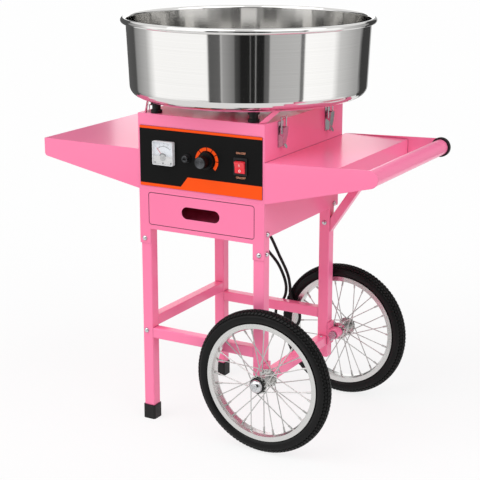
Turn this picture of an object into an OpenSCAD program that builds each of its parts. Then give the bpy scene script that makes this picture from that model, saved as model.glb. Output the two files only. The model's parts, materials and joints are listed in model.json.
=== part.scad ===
/* [Body] */
// Width of the machine and of the cabinet under it
body_w = 302; // [290:1:320]
// Depth of the machine from front to back
machine_d = 360; // [350:1:380]
// Distance from the front face back to the axis of the bowl
bowl_setback = 203; // [196:1:210]
// Height of the machine from its deck to its top plate
machine_h = 161; // [155:1:175]
// Height of the deck that the machine stands on
deck_z = 524; // [515:1:535]
// Height of the cabinet front, from its lower edge to the deck
cabinet_h = 87; // [86:1:95]
// Height of the cabinet sides, from their lower edge to the deck
side_wall_h = 73; // [71:1:76]
// How far the tabs over the front legs reach below the cabinet front
tab_h = 33; // [28:1:40]
// Depth of the cabinet from front to back
cabinet_d = 345; // [338:1:350]
// Thickness of the folded sheet steel
sheet_t = 1.5; // [1:0.1:2]

/* [Frame] */
// Depth over the front and rear legs
frame_d = 332; // [325:1:336]
// Width of the square tube of the legs
leg_w = 25; // [22:0.5:27]
// Width of the square tube of the bars
bar_w = 23; // [18:0.5:24]
// Wall of the square tubes
tube_t = 1.5; // [1:0.1:2]
// Outer corner radius of the square tubes
tube_r = 2.5; // [2.2:0.1:4]
// Height of the top of the front and rear bars
cross_bar_z = 213; // [200:1:240]
// Height of the rubber feet
foot_h = 32; // [25:1:40]
// Wall of the rubber feet
foot_t = 2.5; // [2:0.1:4]
// Thickness of the floor of the rubber feet
foot_floor = 6; // [4:0.5:10]

/* [Trays] */
// Height of the tray tops above the deck
tray_rise = 84; // [76:1:94]
// Depth of the trays from front to back
tray_d = 380; // [365:1:395]
// Reach of the left tray out from the body
left_tray_w = 249; // [220:1:270]
// Depth of the left tray's skirts at their outer end
left_skirt_tip_h = 40; // [30:1:50]
// Depth of both trays' skirts beside the body
skirt_h = 85; // [75:1:92]
// Reach of the right tray's shelf out from the body
right_tray_w = 150; // [135:1:165]
// Depth of the folded lip at the outer edge of the shelves
lip_h = 35; // [25:1:36]
// Distance from the body to the axis of the push handle
handle_reach = 228; // [215:1:240]
// Diameter of the push handle
handle_d = 34; // [28:1:38]
// Diameter of the black ring at the rear end of the handle
ring_d = 42; // [40:1:48]
// Width of the square strut under the right tray
strut_w = 18; // [12:1:22]

/* [Bowl] */
// Diameter of the bowl over its rolled rim
bowl_d = 545; // [500:1:560]
// Height of the bowl with its rim
bowl_h = 165; // [150:1:190]
// Diameter of the rolled rim
bead_d = 12; // [9:0.5:14]
// Thickness of the bowl's steel
bowl_t = 1.2; // [1:0.1:1.6]
// How much the wall narrows from the rim to the bottom
bowl_taper = 6; // [2:0.5:15]
// Radius of the curve between the wall and the bottom
bowl_corner_r = 22; // [15:1:30]
// Height of the gap between the machine and the bowl
bowl_gap = 25; // [22:1:30]

/* [Spinner] */
// Diameter of the spinner head's slotted band
head_d = 124; // [100:1:150]
// Height of the slotted band
band_h = 34; // [25:1:45]
// Diameter of the spinner shaft
shaft_d = 12; // [10:0.5:16]
// Diameter of the motor
motor_d = 92; // [80:1:110]
// Height of the motor
motor_h = 88; // [70:1:100]

/* [Controls] */
// Height of the black control plate
panel_h = 128; // [118:1:140]
// Width of the meter
meter_w = 50; // [46:0.5:56]
// Height of the meter
meter_h = 50; // [46:0.5:56]
// Diameter of the knob's grip
knob_d = 26; // [20:1:30]
// Diameter of the knob's skirt
knob_skirt_d = 36; // [31:1:40]
// Width of the switch bezel
switch_w = 31; // [28:0.5:34]
// Height of the switch bezel
switch_h = 36; // [33:0.5:40]

/* [Drawer] */
// Width of the cabinet front that is left at each side of the drawer
drawer_margin = 24; // [21:0.5:31]
// Height of the drawer front
drawer_h = 68; // [63:1:69]
// Depth of the drawer
drawer_d = 208; // [180:1:211]
// Length of the finger slot
slot_l = 92; // [70:1:120]
// Height of the finger slot
slot_h = 26; // [20:1:30]

/* [Wheels] */
// Diameter over the tyres
wheel_d = 310; // [300:1:318]
// Width of the tyres
tyre_w = 32; // [31:0.5:34]
// Distance from the body's side out to the axles
axle_out = 14; // [12:0.5:18]
// Height of the rim's section
rim_h = 13; // [11:0.5:15]
// Diameter of the hub flanges
flange_d = 40; // [36:0.5:46]
// Spokes on one flange, an even number
flange_spokes = 14; // [10:2:18]
// Diameter of the spokes
spoke_d = 2.2; // [1.8:0.1:2.3]
// Diameter of the axles
axle_d = 12; // [10:0.5:13]

/* [Latches] */
// Length of the latch levers below their pins
lever_l = 40; // [34:1:44]
// Width of the latch levers
lever_w = 18; // [16:0.5:20]
// Diameter of the bail wire
bail_d = 2.6; // [2:0.1:3]

/* [Cord] */
// Diameter of the mains lead
cord_d = 7; // [6:0.1:7.2]

/* [Hidden] */
$fn = 64;

// Clearances, and the overrun of every cut
fit_gap = 0.3;
run_gap = 0.05;
cut = 1;

// Planes of the body
half_w = body_w / 2;
front_y = -bowl_setback;
machine_back_y = front_y + machine_d;
cabinet_back_y = front_y + cabinet_d;
frame_back_y = front_y + frame_d;
tray_back_y = front_y + tray_d;
machine_top_z = deck_z + machine_h;
deck_under_z = deck_z - sheet_t;
cabinet_z = deck_z - cabinet_h;
side_wall_z = deck_z - side_wall_h;
tab_z = cabinet_z - tab_h;
tray_z = deck_z + tray_rise;

// Legs and bars
leg_x = half_w - sheet_t - leg_w / 2;
leg_face_x = leg_x + leg_w / 2;
leg_inner_x = leg_x - leg_w / 2;
front_leg_y = front_y + sheet_t + leg_w / 2;
rear_leg_y = frame_back_y - sheet_t - leg_w / 2;
axle_z = wheel_d / 2;
axle_x = half_w + axle_out;
axle_bar_drop = 5.5;
axle_bar_z = axle_z - axle_bar_drop - bar_w / 2;
front_stub_z = axle_bar_z - bar_w / 2;
rear_stub_drop = 57;
rear_stub_z = axle_z - rear_stub_drop;
foot_w = leg_w + 2 * foot_t;
foot_r = tube_r + foot_t;

// Colours of the finishes
pink = "#ff7fa8";
black = "#1c1c1e";
silver = "#c8cacc";
white = "#eceef2";

// A rectangle with rounded corners, centred on the origin
module rounded_rect(w, h, r) {
    square([w - 2 * r, h], center = true);
    square([w, h - 2 * r], center = true);
    for (x = [-1, 1], y = [-1, 1]) {
        translate([x * (w / 2 - r), y * (h / 2 - r)]) circle(r);
    }
}

// A slot with round ends along X, centred on the origin
module stadium(l, h) {
    square([l - h, h], center = true);
    for (x = [-1, 1]) {
        translate([x * (l - h) / 2, 0]) circle(h / 2);
    }
}

// A square tube along +Z, centred on its axis
module square_tube(w, l) {
    linear_extrude(l) difference() {
        rounded_rect(w, w, tube_r);
        square(w - 2 * tube_t, center = true);
    }
}

// Stands a flat outline drawn in X and Z on the plane y, with its thickness towards the back
module upright(y, t) {
    translate([0, y + t, 0]) rotate([90, 0, 0]) linear_extrude(t) children();
}

// A straight round rod between two points
module rod(a, b, d) {
    run = b - a;
    translate(a) rotate([0, acos(run.z / norm(run)), atan2(run.y, run.x)]) cylinder(h = norm(run), d = d);
}

// Machine housing: folded sheet, open below, with the cut-outs of the controls in its front
panel_t = 1.5;
panel_side = 4.5;
panel_bottom = 7.5;
panel_w = body_w - 2 * panel_side;
panel_z = deck_z + panel_bottom + panel_h / 2;
panel_y = front_y - panel_t;
meter_inset = 61.5;
meter_x = meter_inset - panel_w / 2;
meter_rise = 10;
fuse_x = -30;
knob_x = 17.5;
knob_rise = 4;
switch_inset = 49;
switch_x = panel_w / 2 - switch_inset;
meter_barrel_d = 44;
bushing_d = 9;
fuse_barrel_d = 12;
switch_body_w = 26;
switch_body_h = 30;
shaft_hole_d = 40;
panel_r = 1.6;

module control_cut_outs() {
    translate([meter_x, panel_z + meter_rise]) circle(d = meter_barrel_d + 2 * fit_gap);
    translate([fuse_x, panel_z + knob_rise]) circle(d = fuse_barrel_d + 2 * fit_gap);
    translate([knob_x, panel_z + knob_rise]) circle(d = bushing_d + 2 * fit_gap);
    translate([switch_x, panel_z])
        square([switch_body_w + 2 * fit_gap, switch_body_h + 2 * fit_gap], center = true);
}

module machine_housing() {
    color(pink) difference() {
        translate([-half_w, front_y, deck_z]) cube([body_w, machine_d, machine_h]);
        translate([-half_w + sheet_t, front_y + sheet_t, deck_z - cut])
            cube([body_w - 2 * sheet_t, machine_d - 2 * sheet_t, machine_h - sheet_t + cut]);
        upright(front_y - cut, sheet_t + 2 * cut) control_cut_outs();
        translate([0, 0, machine_top_z - sheet_t - cut]) cylinder(h = sheet_t + 2 * cut, d = shaft_hole_d);
    }
}

// Control plate on the front of the housing
module control_panel() {
    color(black) upright(panel_y, panel_t) difference() {
        translate([0, panel_z]) rounded_rect(panel_w, panel_h, panel_r);
        control_cut_outs();
    }
}

// Meter: case with a recessed dial, clear window, and needle on a pin in the lower part of the dial
meter_out = 9;
meter_back = 28;
meter_wall = 1.2;
meter_r = 3;
dial_depth = 6;
window_t = 1.5;
needle_pin_d = 1.6;
needle_pin_drop = 9;
needle_hub_d = 5;
needle_t = 0.8;
needle_w = 1;
needle_l = 25;
needle_rest = 42;
meter_z = panel_z + meter_rise;
meter_front_y = panel_y - meter_out;
dial_y = meter_front_y + dial_depth;
needle_y = dial_y - fit_gap - needle_t;
needle_z = meter_z - needle_pin_drop;

module meter_case() {
    color(white) {
        difference() {
            upright(meter_front_y, meter_out) translate([meter_x, meter_z])
                rounded_rect(meter_w, meter_h, meter_r);
            upright(meter_front_y - cut, dial_depth + cut) translate([meter_x, meter_z])
                square([meter_w - 2 * meter_wall, meter_h - 2 * meter_wall], center = true);
        }
        translate([meter_x, panel_y + meter_back, meter_z]) rotate([90, 0, 0])
            cylinder(h = meter_back + meter_out - dial_depth, d = meter_barrel_d);
        translate([meter_x, dial_y, needle_z]) rotate([90, 0, 0])
            cylinder(h = needle_t + 2 * fit_gap, d = needle_pin_d);
    }
}

module meter_window() {
    color("#f4f8ff", 0.4) upright(meter_front_y, window_t) translate([meter_x, meter_z])
        square([meter_w - 2 * meter_wall, meter_h - 2 * meter_wall], center = true);
}

module meter_needle() {
    color("#d01818") upright(needle_y, needle_t) translate([meter_x, needle_z]) difference() {
        union() {
            circle(d = needle_hub_d);
            rotate(needle_rest) translate([-needle_w / 2, 0]) square([needle_w, needle_l]);
        }
        circle(d = needle_pin_d + 2 * run_gap);
    }
}

// Fuse holder: barrel through the plate and a screw cap with a driver slot
fuse_cap_d = 15;
fuse_cap_l = 10;
fuse_flange_d = 18;
fuse_flange_l = 3;
fuse_back = 26;
fuse_slot_w = 2;
fuse_slot_depth = 2.5;

module fuse_holder() {
    color(black) translate([fuse_x, panel_y, panel_z + knob_rise]) rotate([90, 0, 0]) difference() {
        union() {
            translate([0, 0, -fuse_back]) cylinder(h = fuse_back + fuse_cap_l, d = fuse_barrel_d);
            cylinder(h = fuse_flange_l, d = fuse_flange_d);
            cylinder(h = fuse_cap_l, d = fuse_cap_d);
        }
        translate([-fuse_cap_d / 2 - cut, -fuse_slot_w / 2, fuse_cap_l - fuse_slot_depth])
            cube([fuse_cap_d + 2 * cut, fuse_slot_w, fuse_slot_depth + cut]);
    }
}

// Heat control: body behind the front with a bushing and a shaft, and the knob on the shaft
control_d = 46;
control_l = 26;
knob_shaft_d = 6;
knob_shaft_l = 18;
knob_skirt_l = 5;
knob_l = 28;
knob_flutes = 24;
knob_flute_d = 1.6;
knob_flute_rise = 0.6;
nut_d = 14;
nut_l = 2.5;
knob_bore_l = knob_shaft_l + fit_gap;
knob_back = nut_l + fit_gap;
knob_z = panel_z + knob_rise;

module heat_control() {
    color(silver) translate([knob_x, panel_y, knob_z]) rotate([90, 0, 0]) {
        translate([0, 0, -panel_t - sheet_t - control_l]) cylinder(h = control_l, d = control_d);
        translate([0, 0, -panel_t - sheet_t]) cylinder(h = panel_t + sheet_t, d = bushing_d);
        cylinder(h = nut_l, d = nut_d, $fn = 6);
        cylinder(h = knob_shaft_l, d = knob_shaft_d);
    }
}

module heat_knob() {
    color(black) translate([knob_x, panel_y, knob_z]) rotate([90, 0, 0]) difference() {
        union() {
            translate([0, 0, knob_back]) cylinder(h = knob_skirt_l, d = knob_skirt_d);
            translate([0, 0, knob_back]) cylinder(h = knob_l - knob_back, d = knob_d);
        }
        translate([0, 0, knob_back - cut])
            cylinder(h = knob_bore_l - knob_back + cut, d = knob_shaft_d + 2 * run_gap);
        for (i = [0 : knob_flutes - 1]) {
            rotate((i + 0.5) * 360 / knob_flutes)
                translate([knob_d / 2 + knob_flute_d / 4, 0, knob_back + knob_skirt_l + knob_flute_rise])
                cylinder(h = knob_l, d = knob_flute_d);
        }
    }
}

// Rocker switch: bezel and body with a cross pin, and the rocker that tilts on it
bezel_t = 3;
switch_r = 2;
switch_back = 24;
switch_wall = 1.6;
switch_pin_d = 3;
switch_pin_depth = 4.5;
rocker_tilt = 10;
rocker_out = 4.5;
rocker_in = 7.5;
rocker_end_gap = 1.8;
rocker_dip = 1.6;
switch_pin_y = panel_y - bezel_t + switch_pin_depth;
rocker_w = switch_body_w - 2 * switch_wall - 2 * fit_gap;
rocker_h = switch_body_h - 2 * switch_wall - 2 * rocker_end_gap;
rocker_well = switch_pin_depth + rocker_in + 3 * rocker_end_gap;

module switch_housing() {
    color(black) {
        difference() {
            union() {
                upright(panel_y - bezel_t, bezel_t) translate([switch_x, panel_z])
                    rounded_rect(switch_w, switch_h, switch_r);
                upright(panel_y, switch_back) translate([switch_x, panel_z])
                    square([switch_body_w, switch_body_h], center = true);
            }
            upright(panel_y - bezel_t - cut, rocker_well + cut) translate([switch_x, panel_z])
                square([switch_body_w - 2 * switch_wall, switch_body_h - 2 * switch_wall], center = true);
        }
        translate([switch_x - switch_body_w / 2 + switch_wall / 2, switch_pin_y, panel_z]) rotate([0, 90, 0])
            cylinder(h = switch_body_w - switch_wall, d = switch_pin_d);
    }
}

// Outline of the rocker in Y and Z round its pin, with a shallow V face
module rocker_outline() {
    face_y = -switch_pin_depth - rocker_out;
    polygon([
        [face_y + rocker_dip, 0],
        [face_y, -rocker_h / 2],
        [0, -rocker_h / 2],
        [rocker_in, -rocker_h / 4],
        [rocker_in, rocker_h / 4],
        [0, rocker_h / 2],
        [face_y, rocker_h / 2]
    ]);
}

module switch_rocker() {
    color("#e0202c") translate([switch_x - rocker_w / 2, switch_pin_y, panel_z]) rotate([rocker_tilt, 0, 0])
        rotate([90, 0, 90]) linear_extrude(rocker_w) difference() {
            rocker_outline();
            circle(d = switch_pin_d + 2 * run_gap);
        }
}

// Bowl: spun sheet with a round bottom edge, a rolled rim and a raised neck round the spinner
neck_d = 84;
neck_h = 20;
corner_steps = 10;
bowl_z = machine_top_z + bowl_gap;
bead_r = bowl_d / 2 - bead_d / 2;
bead_z = bowl_z + bowl_h - bead_d / 2;
wall_top_r = bead_r - bead_d / 2 + bowl_t;
wall_bottom_r = wall_top_r - bowl_taper;

// Half section of the solid that the bowl's outer face encloses, set in by the wall's thickness
module bowl_half(inset) {
    top_r = wall_top_r - inset;
    low_r = wall_bottom_r - inset;
    corner_r = bowl_corner_r - inset;
    polygon(concat(
        [[0, inset]],
        [for (i = [0 : corner_steps])
            let (a = -90 + 90 * i / corner_steps)
                [low_r - corner_r + corner_r * cos(a), inset + corner_r + corner_r * sin(a)]],
        [[top_r, bead_z - bowl_z], [0, bead_z - bowl_z]]
    ));
}

module bowl() {
    color(silver) translate([0, 0, bowl_z]) rotate_extrude($fn = 120) {
        difference() {
            bowl_half(0);
            difference() {
                bowl_half(bowl_t);
                translate([0, -cut]) square([neck_d / 2, neck_h + cut]);
            }
            translate([0, -cut]) square([neck_d / 2 - bowl_t, bowl_h]);
            translate([0, neck_h]) square([neck_d / 2, bowl_h]);
        }
        translate([bead_r, bead_z - bowl_z]) circle(d = bead_d, $fn = 32);
    }
}

// Bowl support: ring plate under the bowl on splayed flat legs that stand on the machine
support_t = 2.5;
support_hole_d = 250;
splay_leg_w = 20;
splay_reach = 40;
splay_turn = 65;
splay_inset = 12;
splay_land = 10.4;
splay_foot_x = half_w - splay_inset;
splay_top_x = splay_foot_x + splay_reach * cos(splay_turn);
splay_top_y = max(-front_y, machine_back_y) - splay_inset - splay_reach * sin(splay_turn);
support_ring_d = 2 * (norm([splay_top_x, splay_top_y]) + splay_land);
support_z = bowl_z - fit_gap;

// A leg that leans towards +X, from the machine's top up to the ring
module splayed_leg() {
    polygon([
        [-splay_leg_w / 2, machine_top_z],
        [splay_leg_w / 2, machine_top_z],
        [splay_reach + splay_leg_w / 2, support_z],
        [splay_reach - splay_leg_w / 2, support_z]
    ]);
}

module bowl_support() {
    color(pink) {
        translate([0, 0, support_z - support_t]) difference() {
            cylinder(h = support_t, d = support_ring_d);
            translate([0, 0, -cut]) cylinder(h = support_t + 2 * cut, d = support_hole_d);
        }
        for (side = [-1, 1], end = [-1, 1]) {
            foot_y = end < 0 ? front_y + splay_inset : machine_back_y - splay_inset;
            translate([side * splay_foot_x, foot_y, 0])
                rotate(atan2(-end * sin(splay_turn), side * cos(splay_turn)))
                upright(-support_t / 2, support_t) splayed_leg();
        }
    }
}

// Rubber bumpers between the machine and the bowl support
bumper_d = 24;
bumper_waist_d = 18;
bumper_flange = 6;
bumper_inset_x = 35;
bumper_inset_y = 18;
bumper_h = bowl_gap - fit_gap - support_t;

module rubber_bumpers() {
    color(black) for (x = [-1, 1], y = [front_y + bumper_inset_y, machine_back_y - bumper_inset_y]) {
        translate([x * (half_w - bumper_inset_x), y, machine_top_z]) {
            cylinder(h = bumper_flange, d = bumper_d);
            cylinder(h = bumper_h, d = bumper_waist_d);
            translate([0, 0, bumper_h - bumper_flange]) cylinder(h = bumper_flange, d = bumper_d);
        }
    }
}

// Motor hung under the top plate, with a bore for the spinner shaft
motor_flange_w = 120;
motor_flange_t = 4;
motor_flange_r = 10;
motor_bore_l = 60;
motor_top_z = machine_top_z - sheet_t;
shaft_low_z = motor_top_z - motor_bore_l + fit_gap;

module motor() {
    color("#8a8d90") difference() {
        union() {
            translate([0, 0, motor_top_z - motor_h]) cylinder(h = motor_h, d = motor_d);
            translate([0, 0, motor_top_z - motor_flange_t]) linear_extrude(motor_flange_t)
                rounded_rect(motor_flange_w, motor_flange_w, motor_flange_r);
        }
        translate([0, 0, motor_top_z - motor_bore_l])
            cylinder(h = motor_bore_l + cut, d = shaft_d + 2 * run_gap);
    }
}

// Spinner head: shaft with a dished base, heater ring on posts, slotted band and cap with a sugar mouth
head_rise = 26;
dish_t = 3;
dish_lip_h = 6;
dish_boss_d = 34;
dish_boss_h = 14;
band_t = 1.6;
band_slots = 36;
band_slot_w = 1.4;
band_slot_margin = 6;
heater_d = 92;
heater_wire_d = 5;
heater_posts = 3;
heater_post_d = 7;
heater_post_h = 12;
cap_t = 2;
cap_mouth_d = 52;
cap_cone_h = 14;
cap_lip = 3;
dish_z = bowl_z + neck_h + head_rise;
band_z = dish_z + dish_t;
cap_z = band_z + band_h;

module spinner_base() {
    color(silver) {
        translate([0, 0, shaft_low_z]) cylinder(h = dish_z - shaft_low_z + dish_t, d = shaft_d);
        translate([0, 0, dish_z - dish_boss_h]) cylinder(h = dish_boss_h, d = dish_boss_d);
        translate([0, 0, dish_z]) cylinder(h = dish_t, d = head_d);
        translate([0, 0, dish_z]) difference() {
            cylinder(h = dish_t + dish_lip_h, d = head_d - 2 * band_t - 2 * fit_gap);
            translate([0, 0, dish_t]) cylinder(h = dish_lip_h + cut, d = head_d - 4 * band_t - 2 * fit_gap);
        }
        for (i = [0 : heater_posts - 1]) {
            rotate(i * 360 / heater_posts) translate([heater_d / 2, 0, dish_z])
                cylinder(h = dish_t + heater_post_h, d = heater_post_d);
        }
    }
}

module heater_ring() {
    color("#b5651d") translate([0, 0, band_z + heater_post_h + heater_wire_d / 2 + fit_gap / 2])
        rotate_extrude() translate([heater_d / 2, 0]) circle(d = heater_wire_d, $fn = 24);
}

module spinner_band() {
    color(silver) translate([0, 0, band_z]) difference() {
        cylinder(h = band_h, d = head_d);
        translate([0, 0, -cut]) cylinder(h = band_h + 2 * cut, d = head_d - 2 * band_t);
        for (i = [0 : band_slots - 1]) {
            rotate(i * 360 / band_slots)
                translate([head_d / 2 - 2 * band_t, -band_slot_w / 2, band_slot_margin])
                cube([4 * band_t, band_slot_w, band_h - 2 * band_slot_margin]);
        }
    }
}

module spinner_cap() {
    color(silver) translate([0, 0, cap_z]) rotate_extrude() polygon([
        [cap_mouth_d / 2, cap_cone_h],
        [cap_mouth_d / 2 + cap_t, cap_cone_h],
        [head_d / 2 - cap_t, cap_t],
        [head_d / 2 + cap_lip, cap_t],
        [head_d / 2 + cap_lip, 0],
        [head_d / 2 - cap_t, 0],
        [cap_mouth_d / 2, cap_cone_h - cap_t]
    ]);
}

// Latches: a base with two ears and a pin, a channel lever on the pin and a wire bail in the lever's cheeks
latch_drop = 17;
latch_front_inset = 66;
latch_rear_inset = 79;
pivot_out = 8;
latch_base_t = 1.5;
latch_base_w = 22;
latch_base_up = 15;
latch_base_down = 38;
ear_t = 1.5;
ear_in = 4;
ear_r = 4;
latch_pin_d = 3;
cheek_t = 1.2;
cheek_h = 16;
lever_face_t = 1.2;
lever_face_out = 4.5;
lever_tip_w = 11;
lever_tip_l = 11;
lever_lean = 6;
bail_drop = 9;
bail_up = 24;
pivot_x = half_w + pivot_out;
pivot_z = machine_top_z - latch_drop;
latch_ys = [front_y + latch_front_inset, machine_back_y - latch_rear_inset];
cheek_y = lever_w / 2 - cheek_t;
pin_half = lever_w / 2 + fit_gap;
bail_half = lever_w / 2 + fit_gap + bail_d / 2;

// Puts a latch, drawn for the right side with its pin on the origin along Y, at its place
module at_latch(side, end) {
    mirror([side < 0 ? 1 : 0, 0, 0]) translate([pivot_x, latch_ys[end], pivot_z]) children();
}

module latch_base() {
    translate([-pivot_out, -latch_base_w / 2, -latch_base_down])
        cube([latch_base_t, latch_base_w, latch_base_up + latch_base_down]);
    for (side = [-1, 1]) {
        translate([0, side * (cheek_y - ear_in) + ear_t / 2, 0]) rotate([90, 0, 0]) linear_extrude(ear_t) {
            circle(ear_r);
            translate([-pivot_out + latch_base_t / 2, -ear_r])
                square([pivot_out - latch_base_t / 2, 2 * ear_r]);
        }
    }
    translate([0, pin_half - fit_gap, 0]) rotate([90, 0, 0])
        cylinder(h = 2 * (pin_half - fit_gap), d = latch_pin_d);
}

module latch_bases() {
    color(silver) for (side = [-1, 1], end = [0, 1]) {
        at_latch(side, end) latch_base();
    }
}

// Lever: face plate with two cheeks, leaning in towards a round tip
module latch_lever(side, end) {
    color(silver) at_latch(side, end) {
        difference() {
            union() {
                for (y = [cheek_y, -cheek_y - cheek_t]) {
                    translate([0, y + cheek_t, 0]) rotate([90, 0, 0]) linear_extrude(cheek_t) {
                        circle(ear_r);
                        polygon([
                            [-ear_r, 0],
                            [lever_face_out, ear_r],
                            [lever_face_out - cheek_h * sin(lever_lean), -cheek_h],
                            [-ear_r, -cheek_h + ear_r]
                        ]);
                    }
                }
                translate([lever_face_out, 0, 0]) rotate([0, lever_lean, 0]) rotate([90, 0, 90])
                    linear_extrude(lever_face_t) {
                        polygon([
                            [-lever_w / 2, ear_r],
                            [lever_w / 2, ear_r],
                            [lever_w / 2, -cheek_h],
                            [lever_tip_w / 2, -lever_l + lever_tip_l],
                            [lever_tip_w / 2, -lever_l + lever_tip_w / 2],
                            [-lever_tip_w / 2, -lever_l + lever_tip_w / 2],
                            [-lever_tip_w / 2, -lever_l + lever_tip_l],
                            [-lever_w / 2, -cheek_h]
                        ]);
                        translate([0, -lever_l + lever_tip_w / 2]) circle(d = lever_tip_w);
                    }
            }
            translate([0, lever_w, 0]) rotate([90, 0, 0])
                cylinder(h = 2 * lever_w, d = latch_pin_d + 2 * run_gap);
            translate([0, lever_w, -bail_drop]) rotate([90, 0, 0])
                cylinder(h = 2 * lever_w, d = bail_d + 2 * run_gap);
        }
    }
}

// Bail: a square loop of wire whose ends turn in through the cheeks
module latch_bail(side, end) {
    color(silver) at_latch(side, end) {
        for (y = [-1, 1]) {
            rod([0, y * bail_half, -bail_drop], [0, y * bail_half, bail_up], bail_d);
            rod([0, y * bail_half, -bail_drop], [0, y * cheek_y, -bail_drop], bail_d);
            for (z = [-bail_drop, bail_up]) {
                translate([0, y * bail_half, z]) sphere(d = bail_d);
            }
        }
        rod([0, -bail_half, bail_up], [0, bail_half, bail_up], bail_d);
    }
}

// Drawer: box of sheet behind a flush front with a finger slot
drawer_drop = 8;
drawer_w = body_w - 2 * drawer_margin;
drawer_t = 1.2;
drawer_r = 5;
drawer_front_t = sheet_t - fit_gap;
drawer_gap = 1.4;
drawer_top_gap = 5;
runner_t = 1.5;
runner_ledge = 9;
runner_h = 18;
drawer_z = deck_z - drawer_drop - drawer_h / 2;
floor_top_z = side_wall_z + sheet_t;
runner_top_z = floor_top_z + runner_t;
box_z = runner_top_z + fit_gap;
box_top_z = drawer_z + drawer_h / 2 - drawer_top_gap;
box_half_w = leg_inner_x - runner_t - fit_gap;

module drawer() {
    color(pink) difference() {
        union() {
            upright(front_y, drawer_front_t) translate([0, drawer_z])
                rounded_rect(drawer_w, drawer_h, drawer_r);
            difference() {
                translate([-box_half_w, front_y, box_z]) cube([2 * box_half_w, drawer_d, box_top_z - box_z]);
                translate([-box_half_w + drawer_t, front_y + drawer_front_t, box_z + drawer_t])
                    cube([2 * (box_half_w - drawer_t), drawer_d - drawer_front_t - drawer_t, drawer_h]);
            }
        }
        upright(front_y - cut, drawer_front_t + 2 * cut) translate([0, drawer_z]) stadium(slot_l, slot_h);
    }
}

// Runners: angles on the cabinet floor beside the legs
module drawer_runners() {
    color(silver) for (side = [-1, 1]) {
        mirror([side < 0 ? 1 : 0, 0, 0]) translate([leg_inner_x - runner_t, front_y + sheet_t, floor_top_z]) {
            cube([runner_t, frame_d - 2 * sheet_t, runner_h]);
            translate([-runner_ledge, 0, 0]) cube([runner_ledge + runner_t, frame_d - 2 * sheet_t, runner_t]);
        }
    }
}

// Cabinet: folded shell with tabs over the front legs and an opening for the drawer
tab_w = leg_w + sheet_t;

module cabinet_front() {
    difference() {
        polygon([
            [-half_w, tab_z],
            [-half_w + tab_w, tab_z],
            [-half_w + tab_w, cabinet_z],
            [half_w - tab_w, cabinet_z],
            [half_w - tab_w, tab_z],
            [half_w, tab_z],
            [half_w, deck_under_z],
            [-half_w, deck_under_z]
        ]);
        translate([0, drawer_z])
            rounded_rect(drawer_w + 2 * drawer_gap, drawer_h + 2 * drawer_gap, drawer_r + drawer_gap);
    }
}

module cabinet_shell() {
    wall_h = deck_under_z - side_wall_z;
    color(pink) {
        upright(front_y, sheet_t) cabinet_front();
        for (x = [-half_w, half_w - sheet_t]) {
            translate([x, front_y, side_wall_z]) cube([sheet_t, cabinet_d, wall_h]);
        }
        translate([-half_w, cabinet_back_y - sheet_t, side_wall_z]) cube([body_w, sheet_t, wall_h]);
    }
}

// Cabinet floor, notched round the legs, with a slot for the lead
cord_slot_l = 60;
cord_slot_w = 36;
cord_slot_x = -66;
cord_slot_y = 88;

module cabinet_floor() {
    color(pink) translate([0, 0, side_wall_z]) linear_extrude(sheet_t) difference() {
        translate([-half_w + sheet_t, front_y + sheet_t])
            square([body_w - 2 * sheet_t, cabinet_d - 2 * sheet_t]);
        for (x = [-1, 1], y = [front_leg_y, rear_leg_y]) {
            translate([x * leg_x, y]) square(leg_w, center = true);
        }
        translate([cord_slot_x, cord_slot_y]) stadium(cord_slot_l, cord_slot_w);
    }
}

// Deck that closes the cabinet and carries the machine, drilled for the strain relief
gland_x = -50;
gland_y = 84;
gland_neck_d = 12;
gland_l = 34;
gland_root_d = 15;
gland_tip_wall = 1.5;
gland_flange_d = 20;
gland_flange_t = 3;

module deck() {
    color(pink) translate([0, 0, deck_under_z]) difference() {
        translate([-half_w, front_y, 0]) cube([body_w, machine_d, sheet_t]);
        translate([gland_x, gland_y, -cut]) cylinder(h = sheet_t + 2 * cut, d = gland_neck_d);
    }
}

// Legs: long ones on the left stand in rubber feet, short ones on the right carry the axles
module leg(x, y, z) {
    color(pink) translate([x, y, z]) square_tube(leg_w, deck_under_z - z);
}

module rubber_feet() {
    color(black) for (y = [front_leg_y, rear_leg_y]) {
        translate([-leg_x, y, 0]) difference() {
            linear_extrude(foot_h) rounded_rect(foot_w, foot_w, foot_r);
            translate([0, 0, foot_floor]) linear_extrude(foot_h) rounded_rect(leg_w, leg_w, tube_r);
        }
    }
}

// Bars between the legs
module bar_across(y) {
    color(pink) translate([-leg_inner_x, y, cross_bar_z - bar_w / 2]) rotate([0, 90, 0])
        square_tube(bar_w, 2 * leg_inner_x);
}

module bar_along(x, z) {
    span = rear_leg_y - front_leg_y - leg_w;
    color(pink) translate([x, front_leg_y + leg_w / 2, z]) rotate([-90, 0, 0]) square_tube(bar_w, span);
}

// Left tray: folded shelf with tapered skirts and an outer lip
left_skirt_r = 8;
left_tip_x = -half_w - left_tray_w;

module left_skirt() {
    low_z = tray_z - left_skirt_tip_h;
    polygon([
        [-half_w, tray_z],
        [-half_w, tray_z - skirt_h],
        [left_tip_x + left_skirt_r, low_z],
        [left_tip_x, low_z + left_skirt_r],
        [left_tip_x, tray_z]
    ]);
    translate([left_tip_x + left_skirt_r, low_z + left_skirt_r]) circle(left_skirt_r);
}

module left_tray() {
    color(pink) {
        translate([left_tip_x, front_y, tray_z - sheet_t]) cube([left_tray_w, tray_d, sheet_t]);
        for (y = [front_y, tray_back_y - sheet_t]) {
            upright(y, sheet_t) left_skirt();
        }
        translate([left_tip_x, front_y, tray_z - lip_h + left_skirt_r])
            cube([sheet_t, tray_d, lip_h - left_skirt_r]);
        translate([-half_w - sheet_t, front_y, tray_z - skirt_h]) cube([sheet_t, machine_d, skirt_h]);
    }
}

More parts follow.
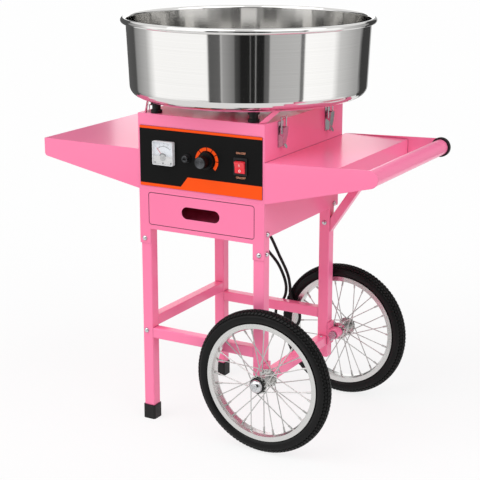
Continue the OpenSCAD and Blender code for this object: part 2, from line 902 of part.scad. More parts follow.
// Right tray: folded shelf whose skirts run on as arms with round ends that hold the push handle
arm_tip_wall = 1;
handle_drop = 9;
handle_wall = 1.5;
handle_ring_t = 8;
handle_spigot_l = 12;
handle_x = half_w + handle_reach;
handle_z = tray_z - handle_drop;
arm_tip_r = handle_d / 2 + arm_tip_wall;
right_edge_x = half_w + right_tray_w;
handle_front_y = front_y + sheet_t;
handle_back_y = tray_back_y - sheet_t - handle_ring_t;

// Angle at which a line from a point to the round tip touches it, on the side given
function tangent_angle(p, side) =
    let (d = [handle_x, handle_z] - p)
        atan2(d.y, d.x) + side * (90 + asin(arm_tip_r / norm(d)));

function tip_point(a) = [handle_x + arm_tip_r * cos(a), handle_z + arm_tip_r * sin(a)];

module arm() {
    low = [half_w, tray_z - skirt_h];
    high = [half_w, tray_z];
    polygon([
        high,
        low,
        tip_point(tangent_angle(low, -1)),
        [handle_x, handle_z],
        tip_point(tangent_angle(high, 1))
    ]);
    translate([handle_x, handle_z]) circle(arm_tip_r);
}

module right_tray() {
    color(pink) {
        translate([half_w, front_y, tray_z - sheet_t]) cube([right_tray_w, tray_d, sheet_t]);
        for (y = [front_y, tray_back_y - sheet_t]) {
            upright(y, sheet_t) arm();
        }
        translate([right_edge_x - sheet_t, front_y, tray_z - lip_h]) cube([sheet_t, tray_d, lip_h]);
        translate([half_w, front_y, tray_z - skirt_h]) cube([sheet_t, machine_d, skirt_h]);
    }
}

module push_handle() {
    color(pink) translate([handle_x, handle_back_y, handle_z]) rotate([90, 0, 0]) difference() {
        cylinder(h = handle_back_y - handle_front_y, d = handle_d);
        translate([0, 0, -cut])
            cylinder(h = handle_back_y - handle_front_y + 2 * cut, d = handle_d - 2 * handle_wall);
    }
}

// Ring at the rear end of the handle, with a spigot inside the tube
module handle_ring() {
    color(black) translate([handle_x, handle_back_y, handle_z]) rotate([-90, 0, 0]) {
        cylinder(h = handle_ring_t, d = ring_d);
        translate([0, 0, -handle_spigot_l])
            cylinder(h = handle_spigot_l + cut, d = handle_d - 2 * handle_wall - 2 * run_gap);
    }
}

// Strut from the rear right leg up to the outer edge of the right tray
strut_drop = 198;
strut_foot_z = tray_z - strut_drop;
strut_foot_x = leg_face_x;
strut_head_z = tray_z - sheet_t;
strut_head_x = right_edge_x - sheet_t - strut_w;

module tray_strut() {
    lean = atan2(strut_head_z - strut_foot_z, strut_head_x - strut_foot_x);
    rise = strut_w / cos(lean) / 2;
    reach = strut_w / sin(lean) / 2;
    color(pink) upright(rear_leg_y - strut_w / 2, strut_w) polygon([
        [strut_foot_x, strut_foot_z - rise],
        [strut_head_x + reach, strut_head_z],
        [strut_head_x - reach, strut_head_z],
        [strut_foot_x, strut_foot_z + rise]
    ]);
}

// Wheels: built on their own axis with +Z outwards, then set on the front or the rear axle
hub_l = 54;
hub_gap = 0.5;
hub_flange_gap = 43;
hub_flange_t = 2.6;
hub_barrel_d = 24;
spoke_circle_d = 33;
tyre_r = tyre_w / 2;
tyre_mid_r = wheel_d / 2 - tyre_r;
rim_w = 26;
rim_wall = 2.1;
rim_floor = 3;
rim_bite = 3.9;
rim_outer_r = tyre_mid_r - tyre_r + rim_bite;
rim_inner_r = rim_outer_r - rim_h;
tread_grooves = 4;
tread_groove_w = 2;
tread_groove_depth = 2;
front_wheel_y = front_leg_y - leg_w / 2 - hub_gap - hub_l / 2;
rear_wheel_y = rear_leg_y + leg_w / 2 + hub_gap + hub_l / 2;

module at_wheel(front) {
    translate([axle_x, front ? front_wheel_y : rear_wheel_y, axle_z]) rotate([front ? 90 : -90, 0, 0])
        children();
}

// Tyre: round section with grooves round the crown
module tyre(front) {
    color(black) at_wheel(front) rotate_extrude($fn = 96) translate([tyre_mid_r, 0]) difference() {
        circle(tyre_r, $fn = 48);
        for (i = [0 : tread_grooves - 1]) {
            rotate((i - (tread_grooves - 1) / 2) * 90 / tread_grooves)
                translate([tyre_r - tread_groove_depth, -tread_groove_w / 2])
                    square([tread_groove_depth + cut, tread_groove_w]);
        }
    }
}

// Rim: a box section with a well for the tyre between two flanges, drilled for the nipples
module rim(front) {
    half_rim = rim_w / 2;
    well_r = rim_inner_r + rim_floor;
    color(silver) at_wheel(front) difference() {
        rotate_extrude($fn = 96) polygon([
            [rim_inner_r, -half_rim / 2],
            [rim_inner_r, half_rim / 2],
            [well_r, half_rim],
            [rim_outer_r, half_rim],
            [rim_outer_r, half_rim - rim_wall],
            [well_r + rim_floor, half_rim - rim_wall],
            [well_r, half_rim / 2],
            [well_r, -half_rim / 2],
            [well_r + rim_floor, -half_rim + rim_wall],
            [rim_outer_r, -half_rim + rim_wall],
            [rim_outer_r, -half_rim],
            [well_r, -half_rim]
        ]);
        for (s = [-1, 1], i = [0 : flange_spokes - 1]) {
            rotate(rim_angle(s, i)) translate([rim_inner_r - cut, 0, rim_place(s, i)]) rotate([0, 90, 0])
                cylinder(h = rim_h, d = nipple_d + 2 * nipple_gap);
        }
    }
}

// Hub: barrel with two drilled flanges on the axle
module hub(front) {
    flange_z = hub_flange_gap / 2;
    color(silver) at_wheel(front) difference() {
        union() {
            translate([0, 0, -hub_l / 2]) cylinder(h = hub_l, d = hub_barrel_d);
            for (s = [-1, 1]) {
                translate([0, 0, s * flange_z - hub_flange_t / 2]) cylinder(h = hub_flange_t, d = flange_d);
            }
        }
        translate([0, 0, -hub_l / 2 - cut]) cylinder(h = hub_l + 2 * cut, d = axle_d + 2 * run_gap);
        for (s = [-1, 1], i = [0 : flange_spokes - 1]) {
            rotate(flange_angle(s, i))
                translate([spoke_circle_d / 2, 0, s * flange_z - hub_flange_t / 2 - cut])
                cylinder(h = hub_flange_t + 2 * cut, d = spoke_elbow_d + 2 * spoke_seat);
        }
    }
}

// Lacing: leading and trailing spokes leave opposite faces of a flange and cross two neighbours each
spoke_crosses = 2;
spoke_seat = 0.2;
spoke_stand = 1.4;
spoke_elbow_wall = 0.2;
spoke_head_d = 4;
spoke_head_h = 1.2;
nipple_d = 4;
nipple_l = 12;
nipple_reach = 1.5;
nipple_gap = 0.6;
rim_spread = 3.4;
rim_stagger = 1.4;
spoke_step = 360 / flange_spokes;
spoke_elbow_d = spoke_d + 2 * spoke_elbow_wall;

function lead(i) = i % 2 == 0 ? 1 : -1;
function rim_angle(s, i) = (i + (s > 0 ? 0 : 0.5)) * spoke_step;
function rim_place(s, i) = s * (rim_spread + lead(i) * rim_stagger);
function flange_angle(s, i) = rim_angle(s, i) - lead(i) * spoke_crosses * spoke_step;
function polar(r, a, z) = [r * cos(a), r * sin(a), z];

module spoke(s, i) {
    out = s * lead(i);
    mid = polar(spoke_circle_d / 2, flange_angle(s, i), s * hub_flange_gap / 2);
    elbow = mid + [0, 0, out * (hub_flange_t / 2 + spoke_stand + spoke_elbow_d / 2)];
    bend = elbow + [0, 0, out * spoke_elbow_d / 2];
    head = mid - [0, 0, out * (hub_flange_t / 2 + spoke_seat)];
    tip = polar(rim_inner_r + nipple_reach, rim_angle(s, i), rim_place(s, i));
    along = (tip - elbow) / norm(tip - elbow);
    rod(elbow, tip - along * nipple_l / 2, spoke_d);
    rod(tip - along * nipple_l, tip, nipple_d);
    rod(head, bend, spoke_elbow_d);
    rod(head - [0, 0, out * spoke_head_h], head, spoke_head_d);
}

module spokes(front) {
    color(silver) at_wheel(front) for (s = [-1, 1], i = [0 : flange_spokes - 1]) {
        spoke(s, i);
    }
}

// Axle brackets on the short legs, and stub axles with a head, washers and a cap nut
bracket_h = 52;
bracket_t = 4;
boss_d = 22;
axle_head_d = 19;
axle_head_l = 7.5;
axle_washer_d = 27;
axle_washer_t = 2;
axle_nut_d = 25;
axle_nut_l = 7;
axle_cap_d = 21;
axle_cap_tip_d = 14;
axle_cap_l = 5;
boss_l = leg_w;

module axle_bracket(y) {
    difference() {
        union() {
            translate([leg_face_x, y - boss_l / 2, axle_z - bracket_h / 2])
                cube([bracket_t, boss_l, bracket_h]);
            translate([leg_face_x, y - boss_l / 2, axle_z - boss_d / 2])
                cube([axle_x - leg_face_x, boss_l, boss_d]);
            translate([axle_x, y + boss_l / 2, axle_z]) rotate([90, 0, 0]) cylinder(h = boss_l, d = boss_d);
        }
        translate([axle_x, y + boss_l, axle_z]) rotate([90, 0, 0])
            cylinder(h = 2 * boss_l, d = axle_d + 2 * run_gap);
    }
}

module axle_brackets() {
    color(silver) for (y = [front_leg_y, rear_leg_y]) {
        axle_bracket(y);
    }
}

module axle() {
    inner = -hub_l / 2 - hub_gap - boss_l;
    outer = hub_l / 2 + fit_gap;
    translate([0, 0, inner]) cylinder(h = outer - inner + axle_washer_t + axle_nut_l, d = axle_d);
    translate([0, 0, inner - axle_head_l]) cylinder(h = axle_head_l, d = axle_head_d, $fn = 6);
    translate([0, 0, outer]) cylinder(h = axle_washer_t, d = axle_washer_d);
    translate([0, 0, outer + axle_washer_t]) cylinder(h = axle_nut_l, d = axle_nut_d, $fn = 6);
    translate([0, 0, outer + axle_washer_t + axle_nut_l])
        cylinder(h = axle_cap_l, d1 = axle_cap_d, d2 = axle_cap_tip_d);
}

module axles() {
    color(silver) for (front = [true, false]) {
        at_wheel(front) axle();
    }
}

// Mains lead: strain relief in the deck, a hanging loop, a coil on the cabinet floor, and the plug
coil_turns_in = 2;
coil_turns_out = 2.5;
coil_pitch = 7.8;
coil_lift = 7.8;
coil_r = 46;
coil_x = 52;
coil_y = 74;
coil_steps = 24;
cord_sides = 8;
coil_sides = 6;
cord_steps = 2;
coil_z = floor_top_z + fit_gap + cord_d / 2;
cord_exit_z = deck_under_z - gland_l;
coil_lead = 14;
cord_join_x = coil_x - coil_lead;
cord_join_y = coil_y - coil_r;

// Points of the loose stretch, from the strain relief to the coil
cord_route = [
    [gland_x, gland_y, cord_exit_z - run_gap],
    [gland_x, gland_y, 475],
    [-49, 86, 450],
    [-44, 96, 425],
    [-31, 111, 395],
    [-10, 124, 358],
    [9, 130, 316],
    [30, 131, 276],
    [37.5, 131, 247.5],
    [39, 131, 225],
    [45.5, 131, 208.5],
    [57, 131, 195.5],
    [64, 131, 180],
    [63.5, 131, 163.5],
    [55.5, 131, 149.5],
    [41, 131, 141],
    [25, 131, 141],
    [10.5, 131, 149.5],
    [2.5, 131, 163.5],
    [2, 131, 180],
    [9, 131, 195.5],
    [20.5, 131, 208.5],
    [27, 131, 225],
    [27.5, 131, 245.5],
    [20, 131, 269],
    [6, 128, 297],
    [-17, 123, 325],
    [-32.5, 114.5, 351.5],
    [-60, 98, 420],
    [-75, 94, 443.5],
    [-90.5, 91, 455],
    [-104.5, 83, 461],
    [-114.5, 69.5, 464],
    [-118, 53, 464.5],
    [-113.5, 36.5, 462.5],
    [-102.5, 24.5, 460],
    [-86, 18.5, 457.5],
    [-62.5, 19.5, coil_z],
    [-20, 27, coil_z],
    [cord_join_x, cord_join_y, coil_z]
];

function unit(v) = v / norm(v);
function at_end(p, i) = p[max(0, min(len(p) - 1, i))];

// A point on the curve that runs smoothly through the route, at share t of its span i
function curve_point(p, i, t) =
    let (a = at_end(p, i - 1), b = p[i], c = at_end(p, i + 1), d = at_end(p, i + 2))
        b + t * ((c - a) / 2 + t * (a - 2.5 * b + 2 * c - d / 2 + t * (1.5 * (b - c) + (d - a) / 2)));

function curve(p, steps) = concat(
    [for (i = [0 : len(p) - 2], s = [0 : steps - 1]) curve_point(p, i, s / steps)],
    [p[len(p) - 1]]
);

// A point of the coil after t turns: it spirals in, climbs a layer where it reverses, and spirals out
function coil_point(t) =
    let (
        r = coil_r - coil_pitch * (t < coil_turns_in ? t : 2 * coil_turns_in - t),
        climb = max(0, min(1, (t - coil_turns_in + 0.25) * 2)),
        a = 360 * t - 90
    ) [coil_x + r * cos(a), coil_y + r * sin(a), coil_z + coil_lift * climb];

coil_count = (coil_turns_in + coil_turns_out) * coil_steps;
coil_wound = [for (i = [0 : coil_count]) coil_point(i / coil_steps)];
coil_end = coil_wound[coil_count] - [coil_lead, 0, 0];
coil_path = concat([[cord_join_x, cord_join_y, coil_z]], coil_wound, [coil_end]);

coil_gap = min([for (i = [0 : coil_count], j = [0 : coil_count])
    if (j - i > coil_steps / 2) norm(coil_wound[i] - coil_wound[j])]) - cord_d;
echo(coil_gap = coil_gap);

// A closed round tube of triangles along a path, with a frame that never twists
module sweep(path, d, sides) {
    last = len(path) - 1;
    ways = [for (i = [0 : last]) unit(path[min(last, i + 1)] - path[max(0, i - 1)])];
    start = abs(ways[0].z) > 0.9 ? [1, 0, 0] : [0, 0, 1];
    normals = [for (i = 0, n = unit(start - (start * ways[0]) * ways[0]); i <= last;
        i = i + 1, n = i <= last ? unit(n - (n * ways[i]) * ways[i]) : n) n];
    points = [for (i = [0 : last], k = [0 : sides - 1])
        let (a = 360 * k / sides)
            path[i] + d / 2 * (cos(a) * normals[i] + sin(a) * cross(ways[i], normals[i]))];
    skin = [for (i = [0 : last - 1], k = [0 : sides - 1], half = [0, 1])
        let (a = i * sides + k, b = i * sides + (k + 1) % sides)
            half == 0 ? [a, a + sides, b] : [b, a + sides, b + sides]];
    caps = [for (k = [1 : sides - 2], far = [0, 1])
        far == 0 ? [0, k, k + 1] : [last * sides, last * sides + k + 1, last * sides + k]];
    polyhedron(points, concat(skin, caps));
}

module cord_gland() {
    color(black) translate([gland_x, gland_y, cord_exit_z]) {
        cylinder(h = gland_l, d1 = cord_d + 2 * gland_tip_wall, d2 = gland_root_d);
        translate([0, 0, gland_l - gland_flange_t]) cylinder(h = gland_flange_t, d = gland_flange_d);
        translate([0, 0, gland_l]) cylinder(h = sheet_t, d = gland_neck_d - 2 * run_gap);
    }
}

module power_cord() {
    color(black) sweep(curve(cord_route, cord_steps), cord_d, cord_sides);
}

module cord_coil() {
    color(black) sweep(coil_path, cord_d, coil_sides);
}

// Plug: tapered grip, moulded body and two round pins
plug_l = 34;
plug_w = 26;
plug_grip_l = 16;
plug_grip_d = 11;
plug_r = 5;
plug_pin_l = 17;
plug_pin_d = 4.8;
plug_pin_gap = 16;
plug_half_h = coil_lift + cord_d / 2;

module cord_plug() {
    color(black) translate(coil_end) rotate([0, -90, 0]) {
        cylinder(h = plug_grip_l, d1 = plug_grip_d - plug_grip_l / 4, d2 = plug_grip_d);
        translate([0, 0, plug_grip_l]) linear_extrude(plug_l) rounded_rect(2 * plug_half_h, plug_w, plug_r);
        for (y = [-1, 1]) {
            translate([0, y * plug_pin_gap / 2, plug_grip_l + plug_l])
                cylinder(h = plug_pin_l, d = plug_pin_d);
        }
    }
}

machine_housing();
control_panel();
meter_case();
meter_window();
meter_needle();
fuse_holder();
heat_knob();
heat_control();
switch_housing();
switch_rocker();
bowl();
bowl_support();
rubber_bumpers();
motor();
spinner_base();
heater_ring();
spinner_band();
spinner_cap();
latch_bases();
latch_lever(1, 0);  // latch_lever_rf
latch_lever(1, 1);  // latch_lever_rr
latch_lever(-1, 0);  // latch_lever_lf
latch_lever(-1, 1);  // latch_lever_lr
latch_bail(1, 0);  // latch_bail_rf
latch_bail(1, 1);  // latch_bail_rr
latch_bail(-1, 0);  // latch_bail_lf
latch_bail(-1, 1);  // latch_bail_lr
cabinet_shell();
cabinet_floor();
deck();
drawer();
drawer_runners();
leg(-leg_x, front_leg_y, foot_floor);  // leg_front_left
leg(-leg_x, rear_leg_y, foot_floor);  // leg_rear_left
leg(leg_x, front_leg_y, front_stub_z);  // leg_front_right
leg(leg_x, rear_leg_y, rear_stub_z);  // leg_rear_right
rubber_feet();
bar_across(front_leg_y);  // front_bar
bar_across(rear_leg_y);  // rear_bar
bar_along(-leg_x, cross_bar_z + bar_w / 2);  // left_bar
bar_along(leg_x, axle_bar_z);  // axle_bar
left_tray();
right_tray();
push_handle();
handle_ring();
tray_strut();
axle_brackets();
axles();
tyre(true);  // front_tyre
rim(true);  // front_rim
hub(true);  // front_hub
spokes(true);  // front_spokes
tyre(false);  // rear_tyre
rim(false);  // rear_rim
hub(false);  // rear_hub
spokes(false);  // rear_spokes
cord_gland();
power_cord();
cord_coil();
cord_plug();
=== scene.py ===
"""Cotton candy cart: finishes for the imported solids, and the fine trim that they carry, in metres."""
import json
import math

import bmesh
import bpy
import numpy as np
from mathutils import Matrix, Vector


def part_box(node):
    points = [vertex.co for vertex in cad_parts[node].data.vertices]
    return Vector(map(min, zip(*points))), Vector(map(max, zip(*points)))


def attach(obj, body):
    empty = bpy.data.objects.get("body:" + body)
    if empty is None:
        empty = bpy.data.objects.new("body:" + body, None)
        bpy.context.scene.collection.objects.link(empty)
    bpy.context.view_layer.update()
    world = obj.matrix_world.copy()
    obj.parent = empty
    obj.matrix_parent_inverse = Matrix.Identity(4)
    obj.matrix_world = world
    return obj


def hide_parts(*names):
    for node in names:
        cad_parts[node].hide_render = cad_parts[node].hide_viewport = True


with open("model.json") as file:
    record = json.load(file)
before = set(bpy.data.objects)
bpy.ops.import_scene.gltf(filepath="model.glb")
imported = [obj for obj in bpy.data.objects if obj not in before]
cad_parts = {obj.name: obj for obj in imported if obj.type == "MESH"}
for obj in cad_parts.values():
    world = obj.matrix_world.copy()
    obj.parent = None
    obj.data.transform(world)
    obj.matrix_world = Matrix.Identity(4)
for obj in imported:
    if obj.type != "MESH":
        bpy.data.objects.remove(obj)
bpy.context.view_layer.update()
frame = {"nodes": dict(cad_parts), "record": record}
nodes = frame["nodes"]
MM = 0.001
TURN = 2 * math.pi
RIGHT, FRONT, BACK, UP = (1, 0, 0), (0, -1, 0), (0, 1, 0), (0, 0, 1)
WHITE = (1, 1, 1, 1)


def put(name, data):
    """A new object in the scene, at the origin."""
    made = bpy.data.objects.new(name, data)
    bpy.context.scene.collection.objects.link(made)
    return made


def look_from(made, place, aim):
    """Sets a camera or lamp at its place, level and turned to its aim."""
    made.location = place
    made.rotation_euler = (Vector(aim) - Vector(place)).to_track_quat("-Z", "Y").to_euler()


# Camera at the photograph's angle
CAMERA_PLACE = (1.3514, -2.4043, 1.1341)
CAMERA_AIM = (0.0, -0.037, 0.3896)
CAMERA_LENS = 96.264
SENSOR_WIDTH = 36.0
FAR_CLIP = 50.0


def make_camera():
    """A level camera that looks from its place at its aim."""
    data = bpy.data.cameras.new("camera")
    data.lens = CAMERA_LENS
    data.sensor_width = SENSOR_WIDTH
    data.clip_end = FAR_CLIP
    camera = put("camera", data)
    look_from(camera, CAMERA_PLACE, CAMERA_AIM)
    bpy.context.scene.camera = camera


# Materials: a Mix node's colour sockets, the range that most of a noise lies in, and the open share at which
# the painted shade where parts meet is darkest or gone
MIX_A, MIX_B, MIX_RESULT = 6, 7, 2
NOISE_LOW, NOISE_HIGH = 0.3, 0.7
SEAM_SHUT, SEAM_OPEN = 0.45, 0.8


def linear(code):
    """An sRGB hex colour such as #ff8800 as linear red, green, blue and alpha."""
    srgb = np.array([int(code[i:i + 2], 16) for i in (1, 3, 5)]) / 255
    rgb = np.where(srgb <= 0.04045, srgb / 12.92, ((srgb + 0.055) / 1.055) ** 2.4)
    return (*map(float, rgb), 1.0)


def add(tree, kind, inputs=None, **settings):
    """Adds one node: inputs maps a socket to a value or another node's output, settings are its choices."""
    made = tree.nodes.new(kind)
    for name, value in settings.items():
        setattr(made, name, value)
    for name, value in (inputs or {}).items():
        if isinstance(value, bpy.types.NodeSocket):
            tree.links.new(value, made.inputs[name])
        else:
            made.inputs[name].default_value = value
    return made


def bare_tree(made):
    """The emptied node tree of a material or world."""
    made.use_nodes = True
    made.node_tree.nodes.clear()
    return made.node_tree


def material(name, colour, **sockets):
    """A material with one Principled shader: its colour, and other sockets by name with _ for a space."""
    made = bpy.data.materials.new(name)
    made.use_nodes = True
    shader = made.node_tree.nodes["Principled BSDF"]
    shader.inputs["Base Color"].default_value = linear(colour)
    for socket, value in sockets.items():
        shader.inputs[socket.replace("_", " ")].default_value = value
    return made, made.node_tree, shader


def grain(tree, size_mm, detail=2.0, vector=None):
    """Noise with lumps about size_mm across, on the object's own coordinates unless a vector is given."""
    place = vector or add(tree, "ShaderNodeTexCoord").outputs["Object"]
    noise = {"Vector": place, "Scale": 1 / (size_mm * MM), "Detail": detail}
    return add(tree, "ShaderNodeTexNoise", noise).outputs["Fac"]


def from_axis(tree, centre):
    """The way from centre to a point of the object."""
    place = add(tree, "ShaderNodeTexCoord").outputs["Object"]
    moved = add(tree, "ShaderNodeVectorMath", {0: place, 1: centre}, operation="SUBTRACT")
    return moved.outputs["Vector"]


def rings(tree, centre, axis, size_mm):
    """Noise, the same all round an axis through centre: rings about size_mm apart, as turning leaves."""
    split = add(tree, "ShaderNodeSeparateXYZ", {"Vector": from_axis(tree, centre)})
    across = [split.outputs[name] for name in "XYZ" if name != axis]
    flat = add(tree, "ShaderNodeCombineXYZ", {"X": across[0], "Y": across[1]})
    radius = add(tree, "ShaderNodeVectorMath", {0: flat.outputs["Vector"]}, operation="LENGTH")
    spot = add(tree, "ShaderNodeCombineXYZ", {"X": radius.outputs["Value"], "Y": split.outputs[axis]})
    return grain(tree, size_mm, detail=3.0, vector=spot.outputs["Vector"])


def tint(tree, shader, value, dark, pale):
    """The shader's colour runs from dark to pale as value runs from 0 to 1."""
    mix = add(tree, "ShaderNodeMix", {"Factor": value, MIX_A: linear(dark), MIX_B: linear(pale)},
              data_type="RGBA")
    tree.links.new(mix.outputs[MIX_RESULT], shader.inputs["Base Color"])


def gloss(tree, shader, value, low, high):
    """The shader's roughness runs from low to high over the range that most of a noise lies in."""
    rough = add(tree, "ShaderNodeMapRange", {"Value": value, "From Min": NOISE_LOW, "From Max": NOISE_HIGH,
                                            "To Min": low, "To Max": high})
    tree.links.new(rough.outputs["Result"], shader.inputs["Roughness"])


def relief(tree, shader, height, depth_mm, strength, edge_mm=0.0):
    """Bump of depth_mm from height, over edges that look rounded by edge_mm."""
    bump = add(tree, "ShaderNodeBump", {"Height": height, "Distance": depth_mm * MM, "Strength": strength})
    if edge_mm:
        edge = add(tree, "ShaderNodeBevel", {"Radius": edge_mm * MM}, samples=6)
        tree.links.new(edge.outputs["Normal"], bump.inputs["Normal"])
    tree.links.new(bump.outputs["Normal"], shader.inputs["Normal"])


def seams(tree, shader, dark, reach_mm):
    """Painted shade where parts meet: the shader's colour goes dark where another surface comes within
    reach_mm.
    """
    paint = shader.inputs["Base Color"].links[0].from_socket
    near = add(tree, "ShaderNodeAmbientOcclusion", {"Distance": reach_mm * MM}, samples=8).outputs["AO"]
    clear = add(tree, "ShaderNodeMapRange", {"Value": near, "From Min": SEAM_SHUT, "From Max": SEAM_OPEN})
    mix = add(tree, "ShaderNodeMix", {"Factor": clear.outputs["Result"], MIX_A: linear(dark), MIX_B: paint},
              data_type="RGBA")
    tree.links.new(mix.outputs[MIX_RESULT], shader.inputs["Base Color"])


def follow_turning(made, centre, axis):
    """Lets a metal's stretched gloss follow the turning round an axis through centre."""
    tree = made.node_tree
    way = add(tree, "ShaderNodeVectorMath", {0: from_axis(tree, centre), 1: axis}, operation="CROSS_PRODUCT")
    here = add(tree, "ShaderNodeVectorTransform", {"Vector": way.outputs["Vector"]}, vector_type="VECTOR",
               convert_from="OBJECT", convert_to="WORLD")
    tree.links.new(here.outputs["Vector"], tree.nodes["Principled BSDF"].inputs["Tangent"])


def pink_powder_coat():
    """Powder coat baked on sheet steel: even strong pink, glossy, a faint orange peel, painted shade where
    parts meet.
    """
    made, tree, shader = material("pink_powder_coat", "#fd80ab", Roughness=0.3,
                                  Specular_IOR_Level=0.35, Coat_Weight=0.3, Coat_Roughness=0.1)
    tint(tree, shader, grain(tree, size_mm=160, detail=1.0), "#fc7ea9", "#fe82ad")
    # painted shade: the pink darkens where another surface comes within 3 mm
    seams(tree, shader, "#9c3a5e", reach_mm=3.0)
    relief(tree, shader, grain(tree, size_mm=2.5, detail=1.0), depth_mm=0.006, strength=0.2, edge_mm=0.9)
    return made


def spun_stainless():
    """Stainless steel spun on a former and polished: long bright bands, and fine rings round the axis."""
    made, tree, shader = material("spun_stainless", "#d8d7d5", Metallic=1.0, Anisotropic=0.7,
                                  Anisotropic_Rotation=0.25)
    lines = rings(tree, (0, 0, 0), "Z", size_mm=1.6)
    gloss(tree, shader, lines, 0.06, 0.1)
    tint(tree, shader, lines, "#cfcecc", "#e0dfdd")
    follow_turning(made, (0, 0, 0), UP)
    relief(tree, shader, lines, depth_mm=0.01, strength=0.4)
    return made


def printed_panel():
    """Screen-printed polycarbonate film on a plate: deep black with a fine matt tooth."""
    made, tree, shader = material("printed_panel", "#101010", Roughness=0.4, Specular_IOR_Level=0.08)
    tint(tree, shader, grain(tree, size_mm=40), "#0e0e0e", "#131313")
    relief(tree, shader, grain(tree, size_mm=0.8), depth_mm=0.02, strength=0.4, edge_mm=0.5)
    return made


def orange_ink():
    """Screen ink: dense orange with the faint mottle of a pulled print."""
    made, tree, shader = material("orange_ink", "#ff5618", Roughness=0.45, Specular_IOR_Level=0.08)
    tint(tree, shader, grain(tree, size_mm=3.0), "#fc5012", "#ff591b")
    relief(tree, shader, grain(tree, size_mm=0.8), depth_mm=0.02, strength=0.3)
    return made


def moulded(name, dark, pale, roughness, tooth_mm, depth_mm, **sockets):
    """Moulded plastic or rubber: a close range of one colour over a sparked tool's fine tooth."""
    made, tree, shader = material(name, pale, **sockets)
    tint(tree, shader, grain(tree, size_mm=12.0), dark, pale)
    gloss(tree, shader, grain(tree, size_mm=5.0), roughness, roughness + 0.1)
    relief(tree, shader, grain(tree, tooth_mm), depth_mm, strength=0.5, edge_mm=0.4)
    return made


def plated(name, dark, pale, rough_low, rough_high, cloud_mm):
    """Plated or drawn metal: bright, with a soft cloud in its gloss."""
    made, tree, shader = material(name, pale, Metallic=1.0)
    cloud = grain(tree, cloud_mm)
    tint(tree, shader, cloud, dark, pale)
    gloss(tree, shader, cloud, rough_low, rough_high)
    relief(tree, shader, grain(tree, size_mm=0.9), depth_mm=0.01, strength=0.3, edge_mm=0.3)
    return made


def turned_metal(name, dark, pale, centre, rough_low, rough_high, size_mm, **sockets):
    """Metal turned or rolled round an axis along Y: rings left by the tool, brighter and duller."""
    made, tree, shader = material(name, pale, Metallic=1.0, **sockets)
    lines = rings(tree, centre, "Y", size_mm)
    tint(tree, shader, lines, dark, pale)
    gloss(tree, shader, lines, rough_low, rough_high)
    relief(tree, shader, lines, depth_mm=0.02, strength=0.5)
    return made


def tyre_rubber():
    """Carbon black rubber: nearly black, dull, a little greyer where moulding wax has bloomed."""
    made, tree, shader = material("tyre_rubber", "#101010", Specular_IOR_Level=0.18)
    bloom = grain(tree, size_mm=18.0, detail=3.0)
    tint(tree, shader, bloom, "#0d0d0d", "#151515")
    gloss(tree, shader, bloom, 0.3, 0.44)
    relief(tree, shader, grain(tree, size_mm=0.9), depth_mm=0.05, strength=0.5)
    return made


def clear_acrylic():
    """Moulded clear acrylic: sharp gloss, with hairline rubs too fine to dull it."""
    made, tree, shader = material("clear_acrylic", "#f4f8fb", IOR=1.49, Alpha=0.14)
    gloss(tree, shader, grain(tree, size_mm=6.0), 0.01, 0.06)
    return made


def lit_red():
    """Translucent red polycarbonate over a lamp: clear strong red, a little light inside."""
    made, tree, shader = material("lit_red_polycarbonate", "#f0303c", Roughness=0.2, Subsurface_Weight=0.25,
                                  Subsurface_Scale=0.004)
    tint(tree, shader, grain(tree, size_mm=14.0), "#e52431", "#f64a54")
    relief(tree, shader, grain(tree, size_mm=1.2), depth_mm=0.02, strength=0.3, edge_mm=0.4)
    return made


def dial_card():
    """Coated card: cool white with the faint fibre of board."""
    made, tree, shader = material("dial_card", "#eef1f6", Roughness=0.6)
    tint(tree, shader, grain(tree, size_mm=2.0, detail=4.0), "#e6eaf1", "#f5f7fb")
    return made


make_camera()

TYRE_LOW, TYRE_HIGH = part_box("front_tyre")
WHEEL_AXIS = ((TYRE_LOW[0] + TYRE_HIGH[0]) / 2, 0.0, (TYRE_LOW[2] + TYRE_HIGH[2]) / 2)
KNOB_LOW, KNOB_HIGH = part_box("heat_knob")
KNOB_AXIS = ((KNOB_LOW[0] + KNOB_HIGH[0]) / 2, 0.0, (KNOB_LOW[2] + KNOB_HIGH[2]) / 2)
finish = {
    "pink_paint": pink_powder_coat(),
    "panel_black": printed_panel(),
    "meter_white": moulded("white_styrene", "#e3e5e8", "#eff0f2", roughness=0.22, tooth_mm=1.0,
                           depth_mm=0.01),
    "clear_window": clear_acrylic(),
    "needle_red": moulded("red_lacquer", "#c41818", "#d82222", roughness=0.4, tooth_mm=0.8, depth_mm=0.01),
    "black_plastic": moulded("black_nylon", "#121213", "#19191b", roughness=0.36, tooth_mm=0.7, depth_mm=0.03,
                             Specular_IOR_Level=0.3),
    "knob_black": moulded("black_phenolic", "#0b0b0c", "#101011", roughness=0.34, tooth_mm=1.0, depth_mm=0.01,
                          Specular_IOR_Level=0.16),
    "zinc_steel": plated("zinc_plate", "#b4b6b8", "#cbcdcf", 0.2, 0.34, cloud_mm=6.0),
    "switch_red": lit_red(),
    "stainless": spun_stainless(),
    "heater_wire": plated("oxidised_nichrome", "#6a5a50", "#8a7668", 0.4, 0.6, cloud_mm=4.0),
    "black_rubber": moulded("black_rubber", "#111111", "#191919", roughness=0.45, tooth_mm=0.9, depth_mm=0.05,
                            Specular_IOR_Level=0.3),
    "motor_grey": moulded("grey_enamel", "#75787c", "#85888c", roughness=0.35, tooth_mm=2.5, depth_mm=0.02),
    "chrome": plated("nickel_plate", "#bfc1c3", "#dcdee0", 0.1, 0.2, cloud_mm=5.0),
    "tyre_rubber": tyre_rubber(),
    "wheel_silver": turned_metal("silver_rim", "#c8c8c6", "#e0e0de", WHEEL_AXIS, 0.18, 0.3, size_mm=1.2),
    "spoke_zinc": plated("drawn_zinc_wire", "#bebebc", "#d8d8d6", 0.3, 0.42, cloud_mm=2.5),
}
ink_orange = orange_ink()
card_white = dial_card()
